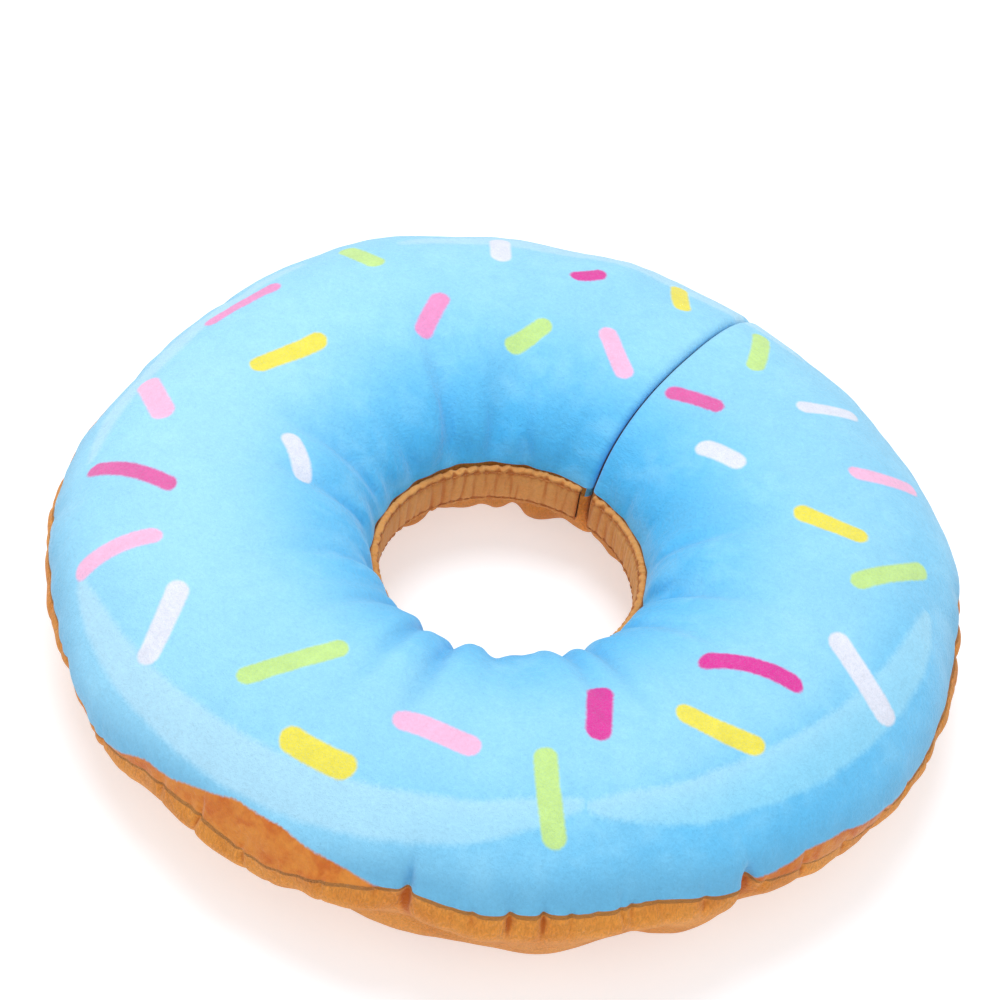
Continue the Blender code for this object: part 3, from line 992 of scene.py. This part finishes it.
def icing_material():
    made = plush("icing_plush", 0.35, (0.9, 0.97, 1, 1), 330, 330, 0.2)
    broad = made.cloudy(made.cut_place, 42, 3, 0.55)
    patch = made.cloudy(made.cut_place, 170, 3, 0.6, 0.5)
    fuzz = made.add(made.swing(made.clump, 2.2), made.swing(patch, 1.6))

    # Painted shade and highlight: deeper blue near the neck and low on the right, paler over the crest on
    # the left, with random deeper and paler patches.
    neck_shade = made.ramp(made.read("from_neck"), 4, 62, 1, 0)
    deep = made.add(neck_shade, made.swing(broad, 0.5), True)
    base = made.mix(deep, ICING, ICING_DEEP)
    base = made.mix(made.times(made.read("deep_side"), 0.75), base, ICING_DEEP)
    base = made.mix(made.times(made.read("pale_side"), 0.5), base, ICING_PALE)
    crest = made.ramp(made.add(broad, made.times(patch, 0.3)), 0.55, 0.95, 0, 0.3)
    base = made.mix(crest, base, ICING_PALE)
    # Painted shade: the blue darkens and greys towards the rim seam, where the cloth turns down away from
    # the light.
    rim_shade = made.ramp(made.read("from_rim"), 1, 17, 1, 0)
    base = made.mix(made.times(rim_shade, 0.8), base, ICING_RIM_SHADE)

    # The print: crescents, bars, and the caramel margin outside the icing's wavy edge.
    pale = made.ramp(made.add(made.read("crescent"), fuzz), -1.6, 1.4, 0, 0.75)
    # The crescents take the deeper blue of the painted shade low on the front right.
    base = made.mix(pale, base, made.mix(made.read("deep_side"), CRESCENT, CRESCENT_DEEP))
    bars = made.shade_by(made.read("bar_colour", "Color"), (patch, 0.12))
    base = made.mix(inside_bar(made, fuzz), base, bars)
    iced = made.ramp(made.add(made.read("iced"), made.times(fuzz, 0.5)), -0.5, 0.6)
    base = made.mix(iced, made.mix(made.ramp(patch, 0.3, 0.7), MARGIN, MARGIN_DEEP), base)

    pile = ((made.clump, 0.24), (made.fibre, 0.16), (made.combed, 0.08))
    base = made.shade_by(base, (broad, 0.07), (patch, 0.09), *pile)
    # Painted shade: the blue is darkened down in the creases and the soft folds.
    crease = made.ramp(made.read("hollow"), 0.1, 1.5, 0, 0.4)
    base = made.mix(crease, base, made.mix(1.0, base, CREASE_SHADE_TINT, "MULTIPLY"))
    return made.finish(base, made.height, 0.8, 0.0008, patch, 0.84, 0.14)


def caramel_material(name, light, dark, around, over, combing, flecked=0.24):
    made = plush(name, 0.24, (1, 0.88, 0.7, 1), around, over, combing)
    broad = made.cloudy(made.cut_place, 60, 3, 0.55)
    patch = made.cloudy(made.cut_place, 210, 3, 0.6, 0.4)
    deeper = made.ramp(made.add(broad, made.times(patch, 0.4)), 0.5, 1.0, 0, 0.45)
    base = made.mix(deeper, light, dark)
    flecks = made.ramp(made.streaks(made.weave, 1700, 620, 2, 0.5, 0.6), 0.3, 0.7)
    pile = ((made.clump, 0.3), (made.fibre, 0.2), (made.combed, 0.5 * combing))
    base = made.shade_by(base, (patch, 0.16), *pile)
    base = made.shade_by(base, (flecks, flecked))
    height = made.add(made.height, made.times(flecks, flecked))
    # Painted shade: the caramel is darker down in the creases and gathers.
    crease = made.ramp(made.read("hollow"), 0.05, 0.7, 0, 0.9)
    return made.finish(made.mix(crease, base, dark), height, 0.85, 0.0009, patch, 0.84, 0.14)


def woven_material(name, light, dark, pitch_mm, roughness, sheen=0.3, specular=0.25):
    """Cloth with threads both ways, from the place of each point on it."""
    made = Looks(name, roughness, sheen, specular=specular)
    weave = made.read("weave", "Vector")
    parts = made.parts(weave)
    waves = 2 * math.pi / (pitch_mm * MM)
    one, other = (made.calc("SINE", made.times(parts[k], waves)) for k in (0, 1))
    woven = made.add(made.times(made.times(one, other), 0.5), 0.5)
    worn = made.cloudy(weave, 260, 3, 0.6)
    fibre = made.cloudy(weave, 2400, 2, 0.6)
    base = made.mix(made.ramp(worn, 0.3, 0.7), light, dark)
    base = made.shade_by(base, (woven, 0.3), (fibre, 0.2))
    height = made.add(woven, made.times(fibre, 0.5))
    return made.finish(base, height, 0.6, 0.00025, worn, roughness - 0.06, 0.12)


def fibre_material():
    made = Looks("fibre_filling", 0.95, 0.4)
    tangled = made.cloudy(made.read("weave", "Vector"), 180, 5, 0.7, 1.5)
    base = made.mix(made.ramp(tangled, 0.3, 0.7), colour(247, 247, 245), colour(222, 222, 218))
    return made.finish(base, tangled, 0.8, 0.002)


# Names of cloths: light colour, dark colour, then the rest of what their makers take.
PLUSHES = {
    "base_plush": (CARAMEL, CARAMEL_DEEP, 900, 150, 0.35),
    "casing_cloth": (colour(226, 160, 90), colour(196, 112, 50), 600, 600, 0.1, 0.05),
    "closure_cloth": (colour(222, 152, 82), colour(182, 98, 40), 500, 300, 0.3, 0.12),
}
WOVENS = {
    "woven_elastic": (colour(240, 240, 238), colour(222, 222, 218), 1.1, 0.8),
    "hook_nylon": (colour(206, 142, 84), colour(186, 120, 66), 0.9, 0.55, 0.0, 0.4),
    "loop_nylon": (colour(214, 152, 92), colour(190, 124, 68), 0.9, 0.85, 0.5),
    "label_satin": (colour(248, 248, 246), colour(236, 236, 232), 0.35, 0.42, 0.2, 0.5),
    "sewing_thread": (colour(214, 140, 72), colour(190, 112, 50), 0.5, 0.7, 0.3),
}
cloths = {"icing_plush": icing_material()}
for cloth_name, values in PLUSHES.items():
    cloths[cloth_name] = caramel_material(cloth_name, *values)
for cloth_name, values in WOVENS.items():
    cloths[cloth_name] = woven_material(cloth_name, *values)
cloths["fibre_filling"] = fibre_material()


# ----- the plush cover
def cover_panel(name, side, rows, cloth, printed):
    """One half of a panel of the cover; rows are counted round the closed section."""
    half = slice(0, HALF + 1) if side == "left" else slice(HALF, FINE + 1)
    rows = [row % FINE_ROWS for row in rows]
    piece = new_piece(name, cover_grid[half][:, rows], sheet_faces(HALF + 1, len(rows)), cloth)
    normals = outward[half][:, rows].reshape(-1, 3)
    piece.data.normals_split_custom_set_from_vertices(normals.tolist())
    reach = reach_fine[half][:, rows]
    around = np.radians(degrees_fine[half]) * RIM_RADIUS + 0 * reach
    point_values(
        piece,
        cut_place=rest_grid[half][:, rows],
        hollow=hollow_grid[half][:, rows],
        weave=np.stack([around, reach, 0 * reach], axis=-1),
        from_neck=from_neck_edge[half][:, rows],
    )
    if printed:
        at = print_degrees[half][:, rows], print_reach[half][:, rows] / MM
        point_values(
            piece,
            crescent=crescent_depth(*at),
            iced=icing_inside(*at),
            from_rim=from_seam[half][:, rows],
            deep_side=deep_side(*at),
            pale_side=pale_side(*at),
        )
        print_bars(piece, half)
    follow_arm(piece)
    return piece


top_rows = range(0, top_edge + 3)
base_rows = range(top_edge, FINE_ROWS + 1)
for side in ("left", "right"):
    top_cover = cover_panel(f"top_cover_{side}", side, top_rows, "icing_plush", True)
    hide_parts(f"top_panel_{side}", "top_panel_front")
    bottom_cover = cover_panel(f"bottom_cover_{side}", side, base_rows, "base_plush", False)
    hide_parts(f"bottom_panel_{side}", "bottom_panel_front")


# ----- filling and the puffed ends
def loop_disc(loop, bulge, rings=10):
    """A puffed disc closing a loop of points, ring by ring towards its middle."""
    centre = loop.mean(axis=0)
    points = [loop]
    for ring in range(1, rings):
        share = ring / rings
        points.append(loop + (centre - loop) * share + bulge * math.sin(share * math.pi / 2))
    points = np.concatenate([*points, (centre + bulge)[None]])
    count = len(loop)
    faces = sheet_faces(rings, count, closed=True)
    for j in range(count):
        last = (rings - 1) * count
        faces.append((last + j, rings * count, last + (j + 1) % count))
    return points, faces


STUFFING_FROM = 32
STUFFING_STEP = 16
STUFFING_INSIDE = 0.0085
GUSSET_GAP = 0.0013

for side, column, way in (("left", 0, 1), ("right", FINE, -1)):
    loop = cover_grid[column]
    room = -GUSSET_GAP * way - loop[:, 0].mean()
    points, faces = loop_disc(loop, np.array([room, 0, 0]))
    if side == "left":
        faces = [face[::-1] for face in faces]
    gusset = new_piece(f"end_gusset_puffed_{side}", points, faces, "base_plush")
    point_values(gusset, cut_place=points, weave=points[:, [1, 2, 0]], hollow=np.zeros(len(points)))
    follow_arm(gusset)
    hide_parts(f"end_gusset_{side}")

    if side == "left":
        half = slice(STUFFING_FROM, HALF + 1, STUFFING_STEP)
    else:
        half = slice(HALF, FINE + 1 - STUFFING_FROM, STUFFING_STEP)
    inner = (soften(cover_grid, 6) - outward * STUFFING_INSIDE)[half, ::3]
    inner = soften(inner, 3)
    stuffing = new_piece(f"stuffing_{side}", inner, tube_faces(*inner.shape[:2]), "fibre_filling")
    point_values(stuffing, weave=inner)
    follow_arm(stuffing)
    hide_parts(f"filling_{side}", "filling_front")


# ----- neck casing and elastic
casing_low, casing_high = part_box("neck_band_left")
elastic_low, elastic_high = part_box("neck_elastic_left")
CASING_OUTER = -casing_low.x
CASING_INNER = 0.0385
ELASTIC_OUTER = -elastic_low.x
CASING_FLATNESS = 0.45
CASING_EDGE_ROUND = 0.75
CHANNEL_AT = 0.8
ELASTIC_THICK = 0.0009
NECK_LINE = 0.04
casing_middle = (casing_low.z + casing_high.z) / 2
casing_half = (casing_high.z - casing_low.z) / 2


def neck_band(name, side, radius, height, cloth, gathered, smooth=True):
    """A closed band round one half of the neck, with the place of each point on its cloth."""
    share = half_share(side, len(radius))
    points = place(radius, height, share)
    piece = new_piece(f"{name}_{side}", points, tube_faces(*points.shape[:2]), cloth, smooth=smooth)
    around = np.radians(90 + 360 * share[:, None]) * NECK_LINE * gathered + 0 * height
    point_values(piece, weave=np.stack([around, height, radius], axis=-1))
    follow_arm(piece)
    return piece, points


def half_share(side, count):
    """Shares of the way round for one half, at that many even columns."""
    step = HALF // (count - 1)
    return share_fine[: HALF + 1 : step] if side == "left" else share_fine[HALF::step]


def casing_piece(side):
    degrees = 90 + 360 * half_share(side, HALF // 2 + 1)[:, None]
    steps = np.linspace(0, 2 * math.pi, 33)[:-1][None, :]
    middle_radius = (CASING_INNER + CASING_OUTER) / 2
    half_thick = (CASING_OUTER - CASING_INNER) / 2 - 0.0002
    across = np.sign(np.cos(steps)) * np.abs(np.cos(steps)) ** CASING_FLATNESS
    up = np.sign(np.sin(steps)) * np.abs(np.sin(steps)) ** CASING_EDGE_ROUND
    tall = up * casing_half
    gathers = swell(21, degrees, tall, (38, 74), 0.022, 14)
    gathers = gathers + 0.5 * swell(22, degrees, tall, (90, 150), 0.012, 14)
    inner = across < 0
    channel = bell(np.abs(up) - CHANNEL_AT, 0.09)
    wave = np.tanh(gathers * 0.5) * 0.48 * MM * np.where(inner, 1 - 0.5 * channel, 0.3)
    wave = wave + np.where(inner, 0.45 * channel * MM, 0)
    radius = middle_radius + half_thick * across + np.where(inner, np.maximum(wave, -0.0002), -wave)
    ruffle = 0.25 * MM * np.roll(gathers, 3, axis=0) * np.abs(up) ** 3
    height = casing_middle + casing_half * up + ruffle
    piece, points = neck_band("neck_casing", side, radius, height, "casing_cloth", 1.9)
    # The hollows between the gathers inside the casing get painted shade.
    point_values(piece, cut_place=points, hollow=np.where(inner, wave / MM * 1.5, 0) + 0 * radius)
    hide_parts(f"neck_band_{side}", "neck_band_front")


def elastic_piece(side):
    flat = 0 * half_share(side, HALF // 8 + 1)[:, None]
    corners = [(1, t) for t in np.linspace(-1, 1, 9)] + [(-1, t) for t in np.linspace(1, -1, 9)]
    corners = np.array(corners)
    half = ELASTIC_THICK / 2 - 0.00005
    radius = ELASTIC_OUTER - ELASTIC_THICK / 2 + half * corners[None, :, 0] + flat
    middle = (elastic_low.z + elastic_high.z) / 2
    tall = (elastic_high.z - elastic_low.z) / 2
    height = middle + tall * corners[None, :, 1] + flat
    piece, _ = neck_band("elastic", side, radius, height, "woven_elastic", 1, smooth=False)
    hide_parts(f"neck_elastic_{side}", "neck_elastic_front")


for side in ("left", "right"):
    casing_piece(side)
    elastic_piece(side)


# ----- stitches
# The pitch and the thickness of each thread.
FLAP_THREAD = (2.6 * MM, 0.4 * MM)
FINE_THREAD = (2.4 * MM, 0.34 * MM)


class Pile:
    """Points and faces of many small parts that make one piece."""

    def __init__(self):
        self.points = []
        self.faces = []
        self.count = 0

    def add(self, points, faces):
        self.points.append(np.asarray(points, float).reshape(-1, 3))
        self.faces += [tuple(n + self.count for n in face) for face in faces]
        self.count += len(self.points[-1])


def tube(path, radii, sides=6):
    """A round tube along a path of points."""
    path = np.asarray(path, float)
    ways = unit(np.gradient(path, axis=0))
    helper = np.array([0.0, 0, 1]) if abs(ways[0, 2]) < 0.9 else np.array([1.0, 0, 0])
    points = []
    for spot, way, radius in zip(path, ways, radii):
        one = unit(np.cross(way, helper))
        other = np.cross(way, one)
        for k in range(sides):
            turn = 2 * math.pi * k / sides
            points.append(spot + radius * (math.cos(turn) * one + math.sin(turn) * other))
    return points, tube_faces(len(path), sides, turned=True)


def sew(pile, line, ups, pitch, thick, depth=0.0003):
    """Lock stitches along a line of points; ups point out of the cloth."""
    line = np.asarray(line, float)
    ups = np.asarray(ups, float) * np.ones_like(line)
    steps = np.linalg.norm(np.diff(line, axis=0), axis=1)
    far = np.concatenate([[0], np.cumsum(steps)])
    number = max(1, int(far[-1] / pitch))
    rise = (-depth, 0.2 * thick, 0.45 * thick, 0.2 * thick, -depth)
    for n in range(number):
        at = (n + np.array([0.06, 0.2, 0.5, 0.8, 0.94])) * far[-1] / number
        path = np.stack([np.interp(at, far, line[:, a]) for a in range(3)], axis=1)
        up = np.stack([np.interp(at, far, ups[:, a]) for a in range(3)], axis=1)
        path = path + up * np.array(rise)[:, None]
        pile.add(*tube(path, [thick * k for k in (0.35, 0.5, 0.55, 0.5, 0.35)]))


def thread_piece(name, pile, cloth="sewing_thread"):
    points = np.concatenate(pile.points)
    piece = new_piece(name, points, pile.faces, cloth)
    point_values(piece, weave=points)
    return piece


for side in ("left", "right"):
    pile = Pile()
    turns = np.radians(np.linspace(93, 270, 240) if side == "left" else np.linspace(270, 447, 240))
    for level in (-CHANNEL_AT, CHANNEL_AT):
        radius = CASING_INNER + 0.00062
        height = casing_middle + level * casing_half
        ring = round_points(radius, turns, 0 * turns + height)
        inward = round_points(-1, turns, 0 * turns)
        sew(pile, ring, inward, *FINE_THREAD)
    stitches = thread_piece(f"casing_stitches_{side}", pile)
    follow_arm(stitches)


# ----- closure flap, tapes and hem
def rounded_outline(low, high, radii, inset):
    """Points round a rectangle with its corners rounded, drawn in by inset; always the same number."""
    x0, y0 = low[0] + inset, low[1] + inset
    x1, y1 = high[0] - inset, high[1] - inset
    corners = ((x1, y1, -1, -1, 0), (x0, y1, 1, -1, 90), (x0, y0, 1, 1, 180), (x1, y0, -1, 1, 270))
    points = []
    for (x, y, sx, sy, first), radius in zip(corners, radii):
        radius = max(radius - inset, 0.0002)
        for step in range(7):
            turn = math.radians(first + 15 * step)
            middle_x, middle_y = x + sx * radius, y + sy * radius
            points.append((middle_x + radius * math.cos(turn), middle_y + radius * math.sin(turn)))
    points = np.array(points)
    out = []
    for k, point in enumerate(points):
        follower = points[(k + 1) % len(points)]
        out.append(point)
        if k % 7 == 6:
            out += [point + (follower - point) * share for share in np.linspace(0, 1, 14)[1:-1]]
    return np.array(out)


def plate(low, high, radii, profile):
    """A flat soft part: rings drawn in from its edge, each at a share of half the thickness."""
    middle, half = (low[2] + high[2]) / 2, (high[2] - low[2]) / 2
    rings = []
    for way in (-1, 1):
        stack = []
        for inset, share in profile:
            flat = rounded_outline(low, high, radii, inset)
            stack.append(np.column_stack([flat, np.full(len(flat), middle + way * half * share)]))
        rings += stack[::-1] if way < 0 else stack[1:]
    return np.concatenate(rings), tube_faces(len(rings), len(rings[0]), turned=True)


def flat_piece(name, box, radii, profile, body):
    """A flat piece of the closure's cloth."""
    points, faces = plate(*box, radii, profile)
    piece = new_piece(name, points, faces, "closure_cloth")
    point_values(piece, weave=points, cut_place=points, hollow=np.zeros(len(points)))
    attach(piece, body)
    return piece


def edge_profile(edge, stitch, inner):
    """Rolled edge, a groove where the stitches pull in, then the flat middle."""
    return (
        (0.0, 0.0),
        (0.12 * edge, 0.45),
        (0.4 * edge, 0.78),
        (edge, 0.92),
        (stitch - 0.5 * MM, 0.95),
        (stitch, SEWN_DOWN),
        (stitch + 0.5 * MM, 0.95),
        (stitch + 1.5 * MM, 1.0),
        (inner, 1.0),
    )


# Corner radii, from the far right round to the near right.
FLAP_CORNERS = (0.0006, 0.008, 0.008, 0.0006)
HEM_CORNERS = (0.002, 0.0006, 0.0006, 0.002)
TAPE_CORNERS = (0.001,) * 4
FLAP_STITCH = 2.4 * MM
HEM_STITCH = 3.2 * MM
TAPE_STITCH = 1.6 * MM
TAPE_BACKING = 0.0006
SEWN_DOWN = 0.74
HOOK_PITCH = 1.45 * MM
LOOP_PITCH = 1.25 * MM
# One hook from its foot to its tip: how far out, and the share of its height.
HOOK_SHAPE = ((0, -0.1), (0, 0.55), (0.16, 0.95), (0.4, 0.9), (0.5, 0.6))

flap_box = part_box("closure_flap")
flap_profile = edge_profile(1.0 * MM, FLAP_STITCH, 12 * MM)
flap = flat_piece("closure_flap_cloth", flap_box, FLAP_CORNERS, flap_profile, "flap")
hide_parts("closure_flap")

hem_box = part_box("flap_base")
hem_profile = edge_profile(1.6 * MM, HEM_STITCH, 6 * MM)
hem = flat_piece("flap_hem", hem_box, HEM_CORNERS, hem_profile, "right_arm")
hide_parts("flap_base")

hook_low, hook_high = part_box("hook_tape")
hook_box = (hook_low, Vector((hook_high.x, hook_high.y, hook_low.z + TAPE_BACKING)))
tape_profile = edge_profile(0.5 * MM, TAPE_STITCH, 8 * MM)
pile = Pile()
pile.add(*plate(*hook_box, TAPE_CORNERS, tape_profile))
hook_source = np.random.default_rng(3)
hook_height = hook_high.z - hook_box[1].z
for x in np.arange(hook_low.x + 3 * MM, hook_high.x - 2.8 * MM, HOOK_PITCH):
    for y in np.arange(hook_low.y + 3 * MM, hook_high.y - 2.8 * MM, HOOK_PITCH):
        turn = math.pi / 2 * hook_source.integers(0, 4) + hook_source.uniform(-0.25, 0.25)
        way = np.array([math.cos(turn), math.sin(turn), 0])
        path = []
        for out, rise in HOOK_SHAPE:
            spot = np.array([x, y, hook_box[1].z + rise * hook_height]) + way * out * 0.75 * MM
            path.append(spot)
        pile.add(*tube(path, [0.14 * MM, 0.12 * MM, 0.11 * MM, 0.1 * MM, 0.07 * MM], sides=5))
hooks = thread_piece("hook_tape_hooks", pile, "hook_nylon")
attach(hooks, "flap")
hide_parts("hook_tape")

loop_low, loop_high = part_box("loop_tape")
loop_box = (Vector((loop_low.x, loop_low.y, loop_high.z - TAPE_BACKING)), loop_high)
pile = Pile()
pile.add(*plate(*loop_box, TAPE_CORNERS, tape_profile))
loop_drop = loop_box[0].z - loop_low.z
for x in np.arange(loop_low.x + 2.6 * MM, loop_high.x - 2.4 * MM, LOOP_PITCH):
    for y in np.arange(loop_low.y + 2.6 * MM, loop_high.y - 2.4 * MM, LOOP_PITCH):
        turn = hook_source.uniform(0, 2 * math.pi)
        spot = np.array([x, y, 0]) + np.array([*hook_source.uniform(-0.4, 0.4, 2), 0]) * MM
        way = np.array([math.cos(turn), math.sin(turn), 0])
        wide = hook_source.uniform(0.45, 0.8) * MM
        drop = loop_drop * hook_source.uniform(0.6, 0.97)
        path = []
        for step in range(6):
            swing = math.pi * step / 5
            down = loop_box[0].z + 0.0001 - drop * math.sin(swing)
            path.append(spot + way * wide * math.cos(swing) + np.array([0, 0, down]))
        pile.add(*tube(path, [0.06 * MM] * 6, sides=4))
loops = thread_piece("loop_tape_pile", pile, "loop_nylon")
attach(loops, "left_arm")
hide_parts("loop_tape")

# Edge stitching on the flap, the hem and the tapes.
UP, DOWN = (0, 0, 1), (0, 0, -1)


def sewn_edge(pile, box, radii, inset, z, facing, thread):
    line = rounded_outline(*box, radii, inset)
    line = np.column_stack([np.vstack([line, line[:1]]), np.full(len(line) + 1, z)])
    sew(pile, line, facing, *thread)


def sewn_level(box, way):
    """The height of a line of stitches on the upper or lower side of a flat piece."""
    return (box[0].z + box[1].z) / 2 + way * (box[1].z - box[0].z) / 2 * SEWN_DOWN


pile = Pile()
for facing, way in ((UP, 1), (DOWN, -1)):
    sewn_edge(pile, flap_box, FLAP_CORNERS, FLAP_STITCH, sewn_level(flap_box, way), facing, FLAP_THREAD)
sewn_edge(pile, hook_box, TAPE_CORNERS, TAPE_STITCH, hook_box[1].z - 0.00012, UP, FINE_THREAD)
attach(thread_piece("flap_stitches", pile), "flap")

pile = Pile()
sewn_edge(pile, hem_box, HEM_CORNERS, HEM_STITCH, sewn_level(hem_box, -1), DOWN, FLAP_THREAD)
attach(thread_piece("hem_stitches", pile), "right_arm")

pile = Pile()
sewn_edge(pile, loop_box, TAPE_CORNERS, TAPE_STITCH, loop_box[0].z + 0.00012, DOWN, FINE_THREAD)
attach(thread_piece("loop_tape_stitches", pile), "left_arm")


# ----- the blank care label
LABEL_ANGLE = 62.0
LABEL_WIDTH = 0.024
LABEL_DROP = 0.020
LABEL_HALF_THICK = 0.00022
LABEL_LIFT = 0.0007
LABEL_END_LIFT = 0.0012


def laid_along(lines, far, steps):
    """Points of each line at even steps along it."""
    found = [np.interp(steps, far[i], line[:, axis]) for i, line in enumerate(lines) for axis in range(3)]
    return np.array(found).reshape(len(lines), 3, -1).transpose(0, 2, 1)


def soften_open(points, times):
    """Averages each line of a small open grid with its neighbours."""
    for _ in range(times):
        mean = points.copy()
        mean[1:-1] = (points[2:] + points[:-2] + 2 * points[1:-1]) / 4
        points = mean
    return points


def label_piece():
    """A folded satin tape that hangs from the rim seam and lies on the plush below it."""
    width, drop = LABEL_WIDTH, LABEL_DROP
    column = int(round((LABEL_ANGLE + 270) % 360 / 360 * FINE))
    half_columns = int(round(width / 2 / (2 * math.pi * RIM_RADIUS) * FINE / 2)) * 2
    picked = np.arange(column - half_columns, column + half_columns + 1, 2)
    rows = np.arange(FINE_ROWS, base_edge, -1) % FINE_ROWS
    lines = cover_grid[picked][:, rows]
    faces_out = outward[picked][:, rows]
    down_way = np.linalg.norm(np.diff(lines, axis=1), axis=-1)
    far = np.concatenate([np.zeros((len(picked), 1)), np.cumsum(down_way, axis=1)], axis=1)
    steps = np.linspace(0.0006, drop, 15)
    flat = laid_along(lines, far, steps)
    face = laid_along(faces_out, far, steps)
    flat = soften_open(flat, 14)
    away = LABEL_LIFT + LABEL_END_LIFT * (steps / drop) ** 2
    front = flat + face * (away + LABEL_HALF_THICK)[None, :, None]
    back = flat + face * (away - LABEL_HALF_THICK)[None, :, None]
    edge = (front[:, -1:] + back[:, -1:]) / 2 + (flat[:, -1:] - flat[:, -2:-1]) * 0.35
    ribbon = np.concatenate([front, edge, back[:, ::-1]], axis=1)
    count = ribbon.shape[1]
    faces = sheet_faces(len(picked), count)
    piece = new_piece("care_label_tape", ribbon, faces, "label_satin")
    ways = np.linspace(0, width, len(picked)), np.linspace(0, 2 * drop, count), [0]
    point_values(piece, weave=np.stack(np.meshgrid(*ways, indexing="ij"), axis=-1))
    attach(piece, "right_arm")
    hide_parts("care_label")


label_piece()

# ----- floor, light and camera
floor_mesh = bpy.data.meshes.new("studio_floor")
FLOOR_HALF = 4
FLOOR_BELOW = 0.0002
floor_corners = [(x * FLOOR_HALF, y * FLOOR_HALF, 0) for x, y in ((-1, -1), (1, -1), (1, 1), (-1, 1))]
floor_mesh.from_pydata(floor_corners, [], [(0, 1, 2, 3)])
floor = bpy.data.objects.new("studio_floor", floor_mesh)
scene.collection.objects.link(floor)
floor.location.z = -FLOOR_BELOW
floor_material = bpy.data.materials.new("studio_floor")
floor_material.use_nodes = True
FLOOR_LOOKS = {
    "Base Color": (0.66, 0.71, 0.77, 1),
    "Roughness": 1.0,
    "Specular IOR Level": 0.0,
    "Emission Color": (1, 1, 1, 1),
    "Emission Strength": 0.5,
}
for key, value in FLOOR_LOOKS.items():
    floor_material.node_tree.nodes["Principled BSDF"].inputs[key].default_value = value
floor.data.materials.append(floor_material)

AZIMUTH = math.radians(30.0)
ELEVATION = math.radians(45.5)
ROLL = math.radians(9.66)
DISTANCE = 1.0
LENS = 120.6
AIM_UP = 0.0209
AIM_LEFT = 0.0024
level = Vector((math.sin(AZIMUTH), -math.cos(AZIMUTH), 0))
back = level * math.cos(ELEVATION) + Vector((0, 0, math.sin(ELEVATION)))
turned = (-back).to_track_quat("-Z", "Y") @ Quaternion((0, 0, 1), ROLL)
view_right = turned @ Vector((1, 0, 0))
view_up = turned @ Vector((0, 1, 0))
middle = Vector((0, 0, CREST_HEIGHT / 2))
aim = middle + view_up * AIM_UP - view_right * AIM_LEFT
camera_data = bpy.data.cameras.new("camera")
camera_data.lens = LENS
camera_data.sensor_width = 36
camera_data.clip_start = 0.05
camera = bpy.data.objects.new("camera", camera_data)
camera.rotation_mode = "QUATERNION"
camera.rotation_quaternion = turned
camera.location = aim + back * DISTANCE
scene.collection.objects.link(camera)
scene.camera = camera


def soft_light(name, where, size, watts, tint):
    data = bpy.data.lights.new(name, "AREA")
    data.shape = "DISK"
    data.size = size
    data.energy = watts
    data.color = tint
    light = bpy.data.objects.new(name, data)
    light.location = where
    light.rotation_mode = "QUATERNION"
    light.rotation_quaternion = (middle - Vector(where)).to_track_quat("-Z", "Y")
    scene.collection.objects.link(light)


key_place = middle - view_right * 0.02 + view_up * 1.12 + back * 0.7
soft_light("key", key_place, 0.8, 10.0, (1.0, 0.995, 0.985))
fill_place = middle + view_right * 0.1 + view_up * 0.05 + back * 1.2
soft_light("fill", fill_place, 1.2, 2.6, (0.98, 0.99, 1.0))

world = bpy.data.worlds.new("studio")
world.use_nodes = True
world.node_tree.nodes["Background"].inputs["Color"].default_value = (1, 1, 1, 1)
world.node_tree.nodes["Background"].inputs["Strength"].default_value = 0.55
scene.world = world
scene.view_settings.view_transform = "Standard"
